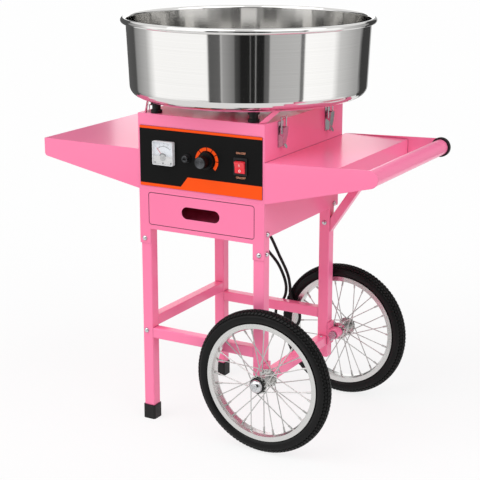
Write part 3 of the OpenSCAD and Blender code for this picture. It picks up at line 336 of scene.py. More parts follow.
cover_grey = moulded("warm_grey_styrene", "#cbc9c7", "#d6d4d2", roughness=0.3, tooth_mm=1.0, depth_mm=0.01)
boss_grey = moulded("grey_styrene", "#9d9c9b", "#b0afae", roughness=0.3, tooth_mm=1.0, depth_mm=0.01)
black_nickel = plated("black_nickel", "#38393b", "#4e4f51", 0.1, 0.2, cloud_mm=4.0)
ink_peach = moulded("peach_ink", "#f5a17c", "#fbb08c", roughness=0.45, tooth_mm=0.8, depth_mm=0.01)
ink_white = moulded("white_ink", "#eceae6", "#f6f5f2", roughness=0.4, tooth_mm=0.8, depth_mm=0.01)
# black ink for the meter's printed scale, and also for the painted shadow over the meter's boss
black_print_and_shadow = moulded("black_ink_and_painted_shadow", "#1b1b1e", "#26262a", roughness=0.5, tooth_mm=0.8, depth_mm=0.01)
knob_metal = turned_metal("turned_dark_nickel", "#3c3d3f", "#626366", KNOB_AXIS, 0.24, 0.34, size_mm=0.5,
                          Anisotropic=0.9, Anisotropic_Rotation=0.25)
follow_turning(knob_metal, KNOB_AXIS, BACK)


# Shapes worked out as arrays: each gives (points, faces)
MERGE = 1e-6
SLIVER = 1e-7


def skin(points, close_u=False, close_v=False):
    """A surface over a grid of points [u, v, xyz]: four neighbours make a face, closed ways join up."""
    nu, nv = points.shape[:2]
    index = np.arange(nu * nv).reshape(nu, nv)
    here = index[:nu if close_u else nu - 1, :nv if close_v else nv - 1]
    rows, columns = here.shape
    after = np.roll(index, -1, 0)[:rows, :columns]
    beside = np.roll(index, -1, 1)[:rows, :columns]
    both = np.roll(index, (-1, -1), (0, 1))[:rows, :columns]
    return points.reshape(-1, 3), np.stack([here, after, both, beside], -1).reshape(-1, 4).tolist()


def square_to(axis):
    """Two unit vectors that are square to an axis and to each other."""
    axis = np.asarray(axis, float)
    spare = np.array([0.0, 0.0, 1.0]) if abs(axis[2]) < 0.9 else np.array([1.0, 0.0, 0.0])
    one = np.cross(spare, axis)
    one /= np.linalg.norm(one)
    return one, np.cross(axis, one)


def turned(profile, centre, axis, count):
    """A turned form: each (radius, height) of the profile, in millimetres, goes round the axis at centre."""
    radius, height = (np.asarray(profile, float) * MM).T[..., None, None]
    one, two = square_to(axis)
    angle = np.linspace(0, TURN, count, endpoint=False)[None, :, None]
    ring = np.cos(angle) * one + np.sin(angle) * two
    return skin(np.asarray(centre) + height * np.asarray(axis, float) + radius * ring, close_v=True)


def plate(outline, centre, right, up, thick):
    """A flat plate: an outline in right and up about centre, and the same set thick along right x up."""
    outline = np.asarray(outline, float)
    right, up = np.asarray(right, float), np.asarray(up, float)
    back = np.asarray(centre) + outline[:, :1] * right + outline[:, 1:] * up
    points = np.concatenate([back, back + thick * np.cross(right, up)])
    n = len(outline)
    step = np.arange(n)
    after = (step + 1) % n
    sides = np.stack([step, after, after + n, step + n], -1).tolist()
    return points, [step[::-1].tolist(), (step + n).tolist()] + sides


def arc(radius, start, end, count):
    """Points on a circle of that radius from one angle to another, in degrees."""
    angle = np.radians(np.linspace(start, end, count))
    return np.stack([radius * np.cos(angle), radius * np.sin(angle)], -1)


def ring_part(inner, outer, start, end, count=14):
    """Outline of a part of a flat ring between two angles."""
    return np.concatenate([arc(outer, start, end, count), arc(inner, end, start, count)])


def lettering(words, size, centre, right, up, thick):
    """Plain letters of that size, set in right and up about centre and raised by thick along right x up."""
    curve = bpy.data.curves.new("words", "FONT")
    curve.body = words
    curve.size = size
    curve.align_x = "CENTER"
    curve.align_y = "CENTER"
    curve.extrude = thick / 2
    curve.resolution_u = 3
    holder = put("words", curve)
    bpy.context.view_layer.update()
    mesh = bpy.data.meshes.new_from_object(holder.evaluated_get(bpy.context.evaluated_depsgraph_get()))
    flat = np.empty(len(mesh.vertices) * 3)
    mesh.vertices.foreach_get("co", flat)
    flat = flat.reshape(-1, 3)
    faces = [list(polygon.vertices) for polygon in mesh.polygons]
    bpy.data.objects.remove(holder)
    right, up = np.asarray(right, float), np.asarray(up, float)
    way = np.cross(right, up)
    points = np.asarray(centre) + flat[:, :1] * right + flat[:, 1:2] * up + (flat[:, 2:] + thick / 2) * way
    return points, faces


def piece(name, parts, look, body="root", replaces=(), sharp=35.0):
    """One object at the origin from (points, faces) parts, with its faces outwards, that rides on a body."""
    points, faces, start = [], [], 0
    for part_points, part_faces in parts:
        points.append(part_points)
        faces += [[corner + start for corner in face] for face in part_faces]
        start += len(part_points)
    mesh = bpy.data.meshes.new(name)
    mesh.from_pydata(np.concatenate(points).tolist(), [], faces)
    work = bmesh.new()
    work.from_mesh(mesh)
    bmesh.ops.remove_doubles(work, verts=work.verts, dist=MERGE)
    bmesh.ops.dissolve_degenerate(work, dist=SLIVER, edges=work.edges)
    bmesh.ops.recalc_face_normals(work, faces=work.faces)
    work.to_mesh(mesh)
    work.free()
    mesh.shade_smooth()
    mesh.set_sharp_from_angle(angle=math.radians(sharp))
    mesh.materials.append(look)
    made = put(name, mesh)
    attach(made, body)
    if replaces:
        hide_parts(*replaces)
    return made


# Mains lead: the route's points and the coil's numbers are those of the solids, in millimetres
CORD_D = 7.0
COIL_CENTRE = (52.0, 74.0, 456.3)
COIL_R = 46.0
COIL_PITCH = 7.8
COIL_LIFT = 7.8
COIL_TURNS_IN = 2.0
COIL_TURNS = 4.5
COIL_LEAD = 14.0
CLIMB_TURNS = 0.5
ROUTE_STEPS, COIL_STEPS = 10, 40
CORD_ROUTE = [
    (-50, 84, 488.45), (-50, 84, 475), (-49, 86, 450), (-44, 96, 425), (-31, 111, 395),
    (-10, 124, 358), (9, 130, 316), (30, 131, 276), (37.5, 131, 247.5), (39, 131, 225),
    (45.5, 131, 208.5), (57, 131, 195.5), (64, 131, 180), (63.5, 131, 163.5), (55.5, 131, 149.5),
    (41, 131, 141), (25, 131, 141), (10.5, 131, 149.5), (2.5, 131, 163.5), (2, 131, 180),
    (9, 131, 195.5), (20.5, 131, 208.5), (27, 131, 225), (27.5, 131, 245.5), (20, 131, 269),
    (6, 128, 297), (-17, 123, 325), (-32.5, 114.5, 351.5), (-60, 98, 420), (-75, 94, 443.5),
    (-90.5, 91, 455), (-104.5, 83, 461), (-114.5, 69.5, 464), (-118, 53, 464.5), (-113.5, 36.5, 462.5),
    (-102.5, 24.5, 460), (-86, 18.5, 457.5), (-62.5, 19.5, 456.3), (-20, 27, 456.3), (38, 28, 456.3),
]
# Ties: where they sit round the coil in degrees, half their width, how far they stand off the coil below,
# above and outside, how round their outline is, and the inner outline's share of the outer one across and up
TIE_TURNS = (20, 200)
TIE_HALF_W = 2.0
TIE_BELOW, TIE_ABOVE, TIE_OUTSIDE = 0.25, 0.4, 0.6
TIE_ROUND = 0.35
TIE_ACROSS, TIE_UP = 0.96, 0.97


def smooth_route(points, steps):
    """A Catmull-Rom curve through the points, with its first and last point doubled."""
    p = np.asarray(points, float)
    p = np.concatenate([p[:1], p, p[-1:]])
    a, b, c, d = (p[i:len(p) - 3 + i, None, :] for i in range(4))
    t = np.linspace(0, 1, steps, endpoint=False)[None, :, None]
    run = b + t * ((c - a) / 2 + t * (a - 2.5 * b + 2 * c - d / 2 + t * (1.5 * (b - c) + (d - a) / 2)))
    return np.concatenate([run.reshape(-1, 3), p[-1:]])


def coil_turns(steps):
    """The coil: it spirals in, climbs a layer where it turns back, spirals out and runs on to the plug."""
    t = np.linspace(0, COIL_TURNS, int(COIL_TURNS * steps) + 1)
    radius = COIL_R - COIL_PITCH * np.where(t < COIL_TURNS_IN, t, 2 * COIL_TURNS_IN - t)
    climb = np.clip((t - COIL_TURNS_IN) / CLIMB_TURNS + 0.5, 0, 1)
    angle = TURN * t - math.pi / 2
    turns = np.stack([COIL_CENTRE[0] + radius * np.cos(angle), COIL_CENTRE[1] + radius * np.sin(angle),
                      COIL_CENTRE[2] + COIL_LIFT * climb], -1)
    return np.concatenate([turns, turns[-1:] - [COIL_LEAD, 0, 0]])


def coil_tie(turn):
    """A strap round the coil: two rounded boxes in radius and height, one in the other, at two rails each."""
    low = COIL_CENTRE[2] - CORD_D / 2 - TIE_BELOW
    high = COIL_CENTRE[2] + COIL_LIFT + CORD_D / 2 + TIE_ABOVE
    near = COIL_R - (COIL_TURNS_IN + 0.5) * COIL_PITCH - CORD_D / 2
    far = COIL_R + (COIL_TURNS - 2 * COIL_TURNS_IN) * COIL_PITCH + CORD_D / 2 + TIE_OUTSIDE
    angle = np.linspace(0, TURN, 40, endpoint=False)
    across = (far - near) / 2 * np.sign(np.cos(angle)) * np.abs(np.cos(angle)) ** TIE_ROUND
    up = (high - low) / 2 * np.sign(np.sin(angle)) * np.abs(np.sin(angle)) ** TIE_ROUND
    ahead = math.radians(turn)
    out = np.array([math.cos(ahead), math.sin(ahead), 0])
    side = np.array([-math.sin(ahead), math.cos(ahead), 0])
    middle = np.array([COIL_CENTRE[0], COIL_CENTRE[1], (low + high) / 2]) + (near + far) / 2 * out
    outer = across[:, None] * out + up[:, None] * UP
    inner = TIE_ACROSS * across[:, None] * out + TIE_UP * up[:, None] * UP
    edge = TIE_HALF_W * side
    points = middle + np.stack([outer - edge, outer + edge, inner + edge, inner - edge], 1)
    return skin(points * MM, close_u=True, close_v=True)


def make_cord():
    """The lead as one round curve from the strain relief to the plug, with two ties round its coil."""
    path = np.concatenate([smooth_route(CORD_ROUTE, ROUTE_STEPS), coil_turns(COIL_STEPS)]) * MM
    data = bpy.data.curves.new("mains_lead", "CURVE")
    data.dimensions = "3D"
    data.bevel_depth = CORD_D / 2 * MM
    data.bevel_resolution = 4
    data.use_fill_caps = True
    line = data.splines.new("POLY")
    line.points.add(len(path) - 1)
    line.points.foreach_set("co", np.concatenate([path, np.ones((len(path), 1))], 1).ravel())
    data.materials.append(finish["black_rubber"])
    cord = put("mains_lead", data)
    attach(cord, "root")
    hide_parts("power_cord", "cord_coil")
    straps = [coil_tie(turn) for turn in TIE_TURNS]
    ties = piece("coil_ties", straps, finish["black_plastic"])


make_cord()


# Tyres with a block tread: lengths in millimetres, and degrees round the tyre's section from its crown. The
# rows of blocks are staggered by a share of a block from side to side, and slant by blocks to the degree.
TYRE_R = (TYRE_HIGH[2] - TYRE_LOW[2]) / 2 / MM
TYRE_HALF_W = (TYRE_HIGH[1] - TYRE_LOW[1]) / 2 / MM
RIM_LOW, RIM_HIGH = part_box("front_rim")
RIM_GAP = 0.1
RIM_R = (RIM_HIGH[2] - RIM_LOW[2]) / 2 / MM + RIM_GAP
TREAD_BLOCKS = 110
BLOCK_STEPS = 8
TREAD_DEPTH = 2.4
TREAD_EDGE = 64
TYRE_TRIM = 0.3
CROWN_END, WALL_START, WALL_END = 66, 68, 178
RIB_SWING = 2.0
INNER_ROW, OUTER_ROW = 23, 47
SIDE_BAND, BEAD_BAND = 84, 112
STAGGER = 0.25
INNER_SLANT, OUTER_SLANT = 0.010, 0.012


def raised(value, half, soft):
    """1 inside half either way of 0, falling to 0 over soft."""
    return np.clip((half - np.abs(value)) / soft + 0.5, 0, 1)


def tyre(mid_y):
    """A ring of round section: over the crown the section's radius steps up in staggered slanted blocks."""
    around = np.linspace(0, TURN, TREAD_BLOCKS * BLOCK_STEPS, endpoint=False)[:, None]
    wall = np.linspace(WALL_START, WALL_END, 16)
    degrees = np.concatenate([-wall[::-1], np.linspace(-CROWN_END, CROWN_END, 67), wall])[None, :]
    tilt, away, side = np.radians(degrees), np.abs(degrees), np.sign(degrees)
    beat = around * TREAD_BLOCKS / TURN
    early = (beat + STAGGER * side + INNER_SLANT * away) % 1 - 0.5
    late = (beat + 0.5 + STAGGER * side - OUTER_SLANT * away) % 1 - 0.5
    zigzag = 4 * np.abs((beat % 1) - 0.5) - 1
    centre_rib = raised(degrees - RIB_SWING * zigzag, half=7.0, soft=3.0)
    inner_row = raised(away - INNER_ROW, half=9.5, soft=3.0) * raised(early, half=0.34, soft=0.1)
    outer_row = raised(away - OUTER_ROW, half=11.0, soft=3.0) * raised(late, half=0.32, soft=0.1)
    bands = (0.25 * raised(away - SIDE_BAND, half=2.5, soft=3.0)
             + 0.3 * raised(away - BEAD_BAND, half=4.0, soft=4.0))
    tread = np.maximum(centre_rib, np.maximum(inner_row, outer_row)) * TREAD_DEPTH
    carcass = TYRE_HALF_W - TYRE_TRIM - TREAD_DEPTH * raised(degrees, half=TREAD_EDGE, soft=10)
    section = carcass + tread + bands
    radius = np.maximum(TYRE_R - TYRE_HALF_W + section * np.cos(tilt), RIM_R)
    points = np.stack([WHEEL_AXIS[0] / MM + radius * np.cos(around), mid_y + section * np.sin(tilt),
                       WHEEL_AXIS[2] / MM + radius * np.sin(around)], -1)
    return skin(points * MM, close_u=True, close_v=True)


for wheel in ("front", "rear"):
    low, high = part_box(wheel + "_tyre")
    middle = (low[1] + high[1]) / 2 / MM
    piece(wheel + "_tread", [tyre(middle)], finish["tyre_rubber"], wheel + "_wheel",
          [wheel + "_tyre"], sharp=30)


# Bolts: (x, y, z) of the seat in millimetres, the way that the head faces, and the head's diameter. A head's
# skirt and rise are shares of its diameter.
WALL_X = 151.0
LEG_X = 149.5
BRACKET_X = 153.5
BOLT_D = 11.0
SCREW_D = 7.0
SEAT_SINK = 0.2
HEAD_SKIRT, HEAD_RISE = 0.06, 0.32
BOLTS = [((x, -203, 415), FRONT, BOLT_D) for x in (-139, 139)]
BOLTS += [((-140, -201.5, 206), FRONT, BOLT_D), ((137.7, 102.5, 415.6), FRONT, BOLT_D)]
BOLTS += [((side * WALL_X, y, 458), (side, 0, 0), BOLT_D) for side in (-1, 1) for y in (-189, 121)]
BOLTS += [((side * LEG_X, y, 415.7), (side, 0, 0), BOLT_D) for side in (-1, 1) for y in (-189, 115)]
BOLTS += [((BRACKET_X, y, z), RIGHT, SCREW_D) for y in (-187, 117) for z in (146, 137)]
BOLTS += [((139.5, 92, 149.5), UP, SCREW_D)]


def dome_bolt(seat, way, width):
    """A mushroom head: a washer face, then a quarter ellipse up to the crown."""
    bend = np.radians(np.linspace(0, 90, 9))
    crown = width * np.stack([np.cos(bend) / 2, HEAD_SKIRT + HEAD_RISE * np.sin(bend)], -1)
    profile = np.concatenate([[[0, -SEAT_SINK], [width / 2, -SEAT_SINK]], crown])
    return turned(profile, np.array(seat) * MM, way, 28)


piece("frame_bolts", [dome_bolt(*bolt) for bolt in BOLTS], finish["chrome"])


# Domed caps over the axle nuts, each on a black ring that is painted shade behind its skirt, in millimetres
CAP_R = 14.2
CAP_RISE = 12.8
CAP_SKIRT = 1.6
CAP_WALL = 0.6
CAP_DIMPLE = [(3.124, 11.6), (0, 11.4)]
RING_R, RING_Z = 15.2, -0.4
RING_HALF_W, RING_HALF_H = 1.3, 1.1
HUB_END = 29.3


def axle_cap(seat, way):
    """A short skirt, then a quarter ellipse up to the crown, with a dimple in its middle."""
    bend = np.radians(np.linspace(0, 72, 13))
    crown = np.stack([CAP_R * np.cos(bend), CAP_SKIRT + (CAP_RISE - CAP_SKIRT) * np.sin(bend)], -1)
    profile = np.concatenate([[[CAP_R - CAP_WALL, 0], [CAP_R, 0]], crown, CAP_DIMPLE])
    return turned(profile, seat, way, 40)


def cap_ring(seat, way):
    """A black ring of oval section behind the cap's skirt: painted shade in the gap round the cap."""
    bend = np.linspace(0, TURN, 13)
    section = np.stack([RING_R + RING_HALF_W * np.cos(bend), RING_Z + RING_HALF_H * np.sin(bend)], -1)
    return turned(section, seat, way, 40)


axle_ends = []
for wheel, way in (("front", FRONT), ("rear", BACK)):
    low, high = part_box(wheel + "_tyre")
    middle = np.array([WHEEL_AXIS[0], (low[1] + high[1]) / 2, WHEEL_AXIS[2]])
    axle_ends.append((middle + HUB_END * MM * np.array(way), way))
piece("axle_caps", [axle_cap(*end) for end in axle_ends], finish["chrome"])
# painted shade: black rings behind the caps stand for the shadow gap round them
piece("axle_cap_shade_rings", [cap_ring(*end) for end in axle_ends], finish["black_rubber"])


# Black strip in the gap round the drawer front, painted shade for the dark gap: how far it runs outside the
# front's edge and behind its face
SHADE_STRIP_INNER, SHADE_STRIP_OUTER = 0.25, 1.45
SHADE_STRIP_FRONT, SHADE_STRIP_BACK = 0.8, 1.55
SHADE_STRIP_RAILS = [(SHADE_STRIP_OUTER, SHADE_STRIP_BACK), (SHADE_STRIP_OUTER, SHADE_STRIP_FRONT),
              (SHADE_STRIP_INNER, SHADE_STRIP_FRONT), (SHADE_STRIP_INNER, SHADE_STRIP_BACK)]
DRAWER_CORNER = 5.0


def rounded_loop(half_w, half_h, radius):
    """A rectangle with round corners: four quarter circles set in from its corners, in turn."""
    turns = [(1, 1, 0), (-1, 1, 90), (-1, -1, 180), (1, -1, 270)]
    return np.concatenate([arc(radius, start, start + 90, 8) + [x * (half_w - radius), z * (half_h - radius)]
                           for x, z, start in turns])


def drawer_seal():
    """A thin black strip of rectangular section carried round the drawer front in the gap to its opening:
    painted shade in the gap.
    """
    low, high = (np.array(corner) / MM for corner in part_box("drawer"))
    middle, half = (low + high) / 2, (high - low) / 2
    rails = []
    for out, deep in SHADE_STRIP_RAILS:
        x, z = rounded_loop(half[0] + out, half[2] + out, DRAWER_CORNER + out).T
        rails.append(np.stack([middle[0] + x, low[1] + deep + 0 * x, middle[2] + z], -1))
    return [skin(np.stack(rails, 1) * MM, close_u=True, close_v=True)]


# Lip under the cabinet floor, behind the foot of the drawer opening: (y, z) of its fold, and half its length
LIP_FOLD = [(-201.4, 441), (-200.2, 441), (-200.2, 449.7), (-190, 449.7), (-190, 450.9), (-201.4, 450.9)]
LIP_HALF = 124.3


def cabinet_lip():
    """An angle of sheet: its folded outline carried from one leg to the other."""
    return [plate(np.array(LIP_FOLD) * MM, (-LIP_HALF * MM, 0, 0), BACK, UP, 2 * LIP_HALF * MM)]


# painted shade: a black strip fills the gap round the drawer front
piece("drawer_seal", drawer_seal(), finish["black_rubber"])
piece("cabinet_lip", cabinet_lip(), finish["pink_paint"])


# Finger tabs at the feet of the latch levers, in millimetres
TAB_LEAN = math.radians(30)
TAB_SINK, TAB_RISE = 1.6, 4.6
TAB_R, TAB_END, TAB_TOP = 4.5, 0.5, 5.0
TAB_T = 1.0


def latch_tab(lever, side):
    """A plate with a round lower end that leans out from the lever's foot."""
    low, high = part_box(lever)
    out = max(abs(low[0]), abs(high[0])) - TAB_SINK * MM
    outline = np.concatenate([arc(TAB_R, 180, 360, 13) - [0, TAB_END], [(TAB_R, TAB_TOP), (-TAB_R, TAB_TOP)]])
    centre = (side * out, (low[1] + high[1]) / 2, low[2] + TAB_RISE * MM)
    up = (-side * math.sin(TAB_LEAN), 0, math.cos(TAB_LEAN))
    return [plate(outline * MM, centre, (0, side, 0), up, TAB_T * MM)]


for place, side in (("rf", 1), ("rr", 1), ("lf", -1), ("lr", -1)):
    lever = "latch_lever_" + place
    piece("latch_tab_" + place, latch_tab(lever, side), finish["chrome"], lever)


# Print on the control plate, in millimetres, with the heat scale's bars between angles in degrees
PANEL_LOW, PANEL_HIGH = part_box("control_panel")
PANEL_Y = PANEL_LOW[1]
PANEL_LEFT, PANEL_RIGHT = PANEL_LOW[0] / MM, PANEL_HIGH[0] / MM
PANEL_BOTTOM, PANEL_TOP = PANEL_LOW[2] / MM, PANEL_HIGH[2] / MM
INK = 0.12 * MM
TOP_STRIPE = 5.4
FOOT_STRIPE = 6.4
FOOT_BLOCK = 28.0
BLOCK_START, BLOCK_FULL = -46.0, -29.0
HEAT_INNER, HEAT_OUTER = 20.5, 27.3
HEAT_STEPS = [226, 178, 134, 90, 60, 31, -1, -46]
HEAT_GAP = 2.0
WORD_SIZE = 6.2
WORD_OVER, WORD_UNDER = 9.0, 5.5


def panel_print():
    """Stripes along the top and the foot of the plate, the foot one stepped up, and the heat scale's bars."""
    top = [(PANEL_LEFT, PANEL_TOP - TOP_STRIPE), (PANEL_RIGHT, PANEL_TOP - TOP_STRIPE),
           (PANEL_RIGHT, PANEL_TOP), (PANEL_LEFT, PANEL_TOP)]
    foot = [(PANEL_LEFT, PANEL_BOTTOM), (PANEL_RIGHT, PANEL_BOTTOM), (PANEL_RIGHT, PANEL_BOTTOM + FOOT_BLOCK),
            (BLOCK_FULL, PANEL_BOTTOM + FOOT_BLOCK), (BLOCK_START, PANEL_BOTTOM + FOOT_STRIPE),
            (PANEL_LEFT, PANEL_BOTTOM + FOOT_STRIPE)]
    parts = [plate(np.array(outline) * MM, (0, PANEL_Y, 0), RIGHT, UP, INK) for outline in (top, foot)]
    knob = (KNOB_AXIS[0], PANEL_Y, KNOB_AXIS[2])
    for first, last in zip(HEAT_STEPS[:-1], HEAT_STEPS[1:]):
        bar = ring_part(HEAT_INNER, HEAT_OUTER, first - HEAT_GAP, last + HEAT_GAP)
        parts.append(plate(bar * MM, knob, RIGHT, UP, INK))
    return parts


def switch_words():
    """The same words over and under the switch."""
    low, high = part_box("switch_housing")
    middle = (low[0] + high[0]) / 2
    return [lettering("ON/OFF", WORD_SIZE * MM, (middle, PANEL_Y, z), RIGHT, UP, INK)
            for z in (high[2] + WORD_OVER * MM, low[2] - WORD_UNDER * MM)]


piece("panel_print", panel_print(), ink_orange)
piece("switch_words", switch_words(), ink_peach)


# Meter: dial card with its scale, and the lower cover with its boss, screws and the painted shadow over the
# boss. Radii, profiles and sizes are in millimetres, and the scale's sweep and the ticks' half width in
# degrees.
METER_LOW, METER_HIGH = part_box("meter_window")
METER_X, METER_Z = (METER_LOW[0] + METER_HIGH[0]) / 2, (METER_LOW[2] + METER_HIGH[2]) / 2
METER_HALF_W, METER_HALF_H = (METER_HIGH[0] - METER_LOW[0]) / 2, (METER_HIGH[2] - METER_LOW[2]) / 2
DIAL_Y = METER_LOW[1] + 6 * MM
PIVOT_Z = 596.5 * MM
CARD_GAP, CARD_T = 0.2 * MM, 0.15 * MM
SWEEP = 42.0
SCALE_INK = 0.06 * MM
SCALE_INNER, SCALE_OUTER = 22.4, 23.2
TICKS, TICK_GROUP = 21, 5
TICK_START, TICK_SHORT, TICK_LONG = 22.6, 24.8, 26.6
TICK_HALF = 0.45
NUMBER_R, NUMBER_SIZE = 29.0, 3.6
COVER_Y = METER_LOW[1] + 2.1 * MM
COVER_TOP = METER_LOW[2] + 17.5 * MM
COVER_GAP, COVER_T = 0.3 * MM, 1.8 * MM
BOSS_R = 8.6
BOSS_DISC = [(0, 0), (7.2, 0), (7.2, 0.1), (6.6, 0.35), (0, 0.35)]
BOSS_SHADOW_IN, BOSS_SHADOW_OUT = 1.4, 0.9
BOSS_SHADOW_ENDS = (155, 25)
BOSS_SHADOW_T = 0.05 * MM
SCREW_HEAD = [(0, 0), (1.9, 0), (1.9, 0.1), (1.5, 0.3), (0, 0.3)]
SCREW_SPOTS = [(-19.5, 585.5), (19.5, 585.5), (0, 585.0)]


def meter_dial():
    """A card on the dial's plane, just inside the window's outline."""
    half_w, half_h = METER_HALF_W - CARD_GAP, METER_HALF_H - CARD_GAP
    outline = [(-half_w, -half_h), (half_w, -half_h), (half_w, half_h), (-half_w, half_h)]
    return [plate(outline, (METER_X, DIAL_Y, METER_Z), RIGHT, UP, CARD_T)]


def meter_scale():
    """An arc with ticks that stand on it, long ones numbered."""
    at = (METER_X, DIAL_Y - CARD_T, PIVOT_Z)
    first, last = 90 + SWEEP, 90 - SWEEP
    parts = [plate(ring_part(SCALE_INNER, SCALE_OUTER, first, last, 30) * MM, at, RIGHT, UP, SCALE_INK)]
    for i, angle in enumerate(np.linspace(first, last, TICKS)):
        numbered = i % TICK_GROUP == 0
        tick_end = TICK_LONG if numbered else TICK_SHORT
        tick = ring_part(TICK_START, tick_end, angle + TICK_HALF, angle - TICK_HALF, 2)
        parts.append(plate(tick * MM, at, RIGHT, UP, SCALE_INK))
        if numbered:
            spot = arc(NUMBER_R, angle, angle, 1)[0] * MM
            place = (at[0] + spot[0], at[1], at[2] + spot[1])
            parts.append(lettering(str(i), NUMBER_SIZE * MM, place, RIGHT, UP, SCALE_INK))
    return parts


def meter_cover():
    """The opaque lower cover behind the window: a plate that rises round a boss."""
    half_w = METER_HALF_W - COVER_GAP
    low = METER_LOW[2] + COVER_GAP - PIVOT_Z
    rise = COVER_TOP - PIVOT_Z
    start = math.degrees(math.asin(rise / (BOSS_R * MM)))
    boss = arc(BOSS_R * MM, start, 180 - start, 24)
    outline = np.concatenate([[(-half_w, low), (half_w, low), (half_w, rise)], boss, [(-half_w, rise)]])
    return [plate(outline, (METER_X, COVER_Y + COVER_T, PIVOT_Z), RIGHT, UP, COVER_T)]


def meter_boss():
    """The boss's turned disc, with a chamfered edge."""
    return [turned(BOSS_DISC, (METER_X, COVER_Y, PIVOT_Z), FRONT, 40)]


def meter_slot():
    """Painted shadow: a thin black crescent on the cover over the boss's upper edge, where the boss stands
    proud.
    """
    slot = ring_part(BOSS_R - BOSS_SHADOW_IN, BOSS_R + BOSS_SHADOW_OUT, *BOSS_SHADOW_ENDS, 24)
    return [plate(slot * MM, (METER_X, COVER_Y, PIVOT_Z), RIGHT, UP, BOSS_SHADOW_T)]


def meter_screws():
    """Three chamfered screw heads on the cover."""
    return [turned(SCREW_HEAD, (METER_X + x * MM, COVER_Y, z * MM), FRONT, 20) for x, z in SCREW_SPOTS]


piece("meter_dial", meter_dial(), card_white)
piece("meter_scale", meter_scale(), black_print_and_shadow)
piece("meter_cover", meter_cover(), cover_grey)
piece("meter_boss", meter_boss(), boss_grey)
piece("meter_screws", meter_screws(), black_nickel)
# painted shadow of the boss on the cover, in black ink
piece("meter_slot", meter_slot(), black_print_and_shadow)


# Knob face, fuse ring and rocker marks, in millimetres
KNOB_DISC = [(0, -0.4), (11.6, -0.4), (11.6, 0.3), (11.2, 0.5), (10.8, 0.3), (0, 0.05)]
FUSE_R, FUSE_HALF_W, FUSE_RISE, FUSE_SINK = 5.3, 1.7, 0.9, 0.2
ROCKER_TILT = math.radians(10)
ROCKER_PIN_Y = -203.0
ROCKER_DEEP, ROCKER_FACE = 7.4, 9.0
ROCKER_HALF = 11.8
MARK_T = 0.1
MARK_BAR = [(-0.55, -2.6), (0.55, -2.6), (0.55, 2.6), (-0.55, 2.6)]
MARK_INNER, MARK_OUTER = 1.7, 2.7


def knob_face():
    """A turned metal disc let into the knob: a flat cone with a bright raised edge."""
    return [turned(KNOB_DISC, (KNOB_AXIS[0], KNOB_LOW[1], KNOB_AXIS[2]), FRONT, 64)]


def fuse_ring():
    """A rolled ring on the front of the fuse cap, round its driver slot."""
    low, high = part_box("fuse_holder")
    middle = ((low[0] + high[0]) / 2, low[1], (low[2] + high[2]) / 2)
    bend = np.radians(np.linspace(0, 180, 13))
    crown = np.stack([FUSE_R + FUSE_HALF_W * np.cos(bend), FUSE_RISE * np.sin(bend)], -1)
    foot = [(FUSE_R - FUSE_HALF_W, -FUSE_SINK), (FUSE_R + FUSE_HALF_W, -FUSE_SINK)]
    return [turned(np.concatenate([crown, foot]), middle, FRONT, 40)]


def rocker_marks():
    """A bar on the upper face of the rocker and a ring on the lower one, on faces that make a shallow V."""
    low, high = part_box("switch_rocker")
    pin = np.array([(low[0] + high[0]) / 2, ROCKER_PIN_Y * MM, (low[2] + high[2]) / 2])
    turn = np.array([[1, 0, 0], [0, math.cos(ROCKER_TILT), -math.sin(ROCKER_TILT)],
                     [0, math.sin(ROCKER_TILT), math.cos(ROCKER_TILT)]])
    half_rings = [ring_part(MARK_INNER, MARK_OUTER, start, start + 180) for start in (0, 180)]
    parts = []
    for side, marks in ((1, [np.array(MARK_BAR)]), (-1, half_rings)):
        up = np.array([0, -side * (ROCKER_FACE - ROCKER_DEEP), ROCKER_HALF])
        up /= np.linalg.norm(up)
        middle = np.array([0, -(ROCKER_DEEP + ROCKER_FACE) / 2, side * ROCKER_HALF / 2]) * MM
        parts += [plate(mark * MM, pin + turn @ middle, RIGHT, turn @ up, MARK_T * MM) for mark in marks]
    return parts


piece("knob_face", knob_face(), knob_metal, "heat_knob")
piece("fuse_ring", fuse_ring(), black_nickel)
piece("rocker_marks", rocker_marks(), ink_white, "switch_rocker")


# Finishes of the solids, by their slots in the record, with the axle brackets painted as the legs are
for part in frame["record"]["subparts"]:
    mesh = nodes[part["node"]].data
    mesh.materials.clear()
    mesh.materials.append(finish[part["material_slot"]])
nodes["axle_brackets"].data.materials[0] = finish["pink_paint"]


# Stage: floor, sky, drum and lamps, in metres
FLOOR_HALF = 12.0
FLOOR_GREY = (0.9, 0.9, 0.9, 1)
FLOOR_GLOW = 0.8
SKY_LIGHT = 0.56


def seen(tree, share):
    """share for rays from the eye, and for those that gloss and glass send on, and 0 for light."""
    ray = add(tree, "ShaderNodeLightPath").outputs
    gloss_too = add(tree, "ShaderNodeMath", {0: ray["Is Camera Ray"], 1: ray["Is Glossy Ray"]},
                    operation="MAXIMUM")
    glass_too = add(tree, "ShaderNodeMath", {0: gloss_too.outputs[0], 1: ray["Is Transmission Ray"]},
                    operation="MAXIMUM")
    return add(tree, "ShaderNodeMath", {0: glass_too.outputs[0], 1: share}, operation="MULTIPLY").outputs[0]


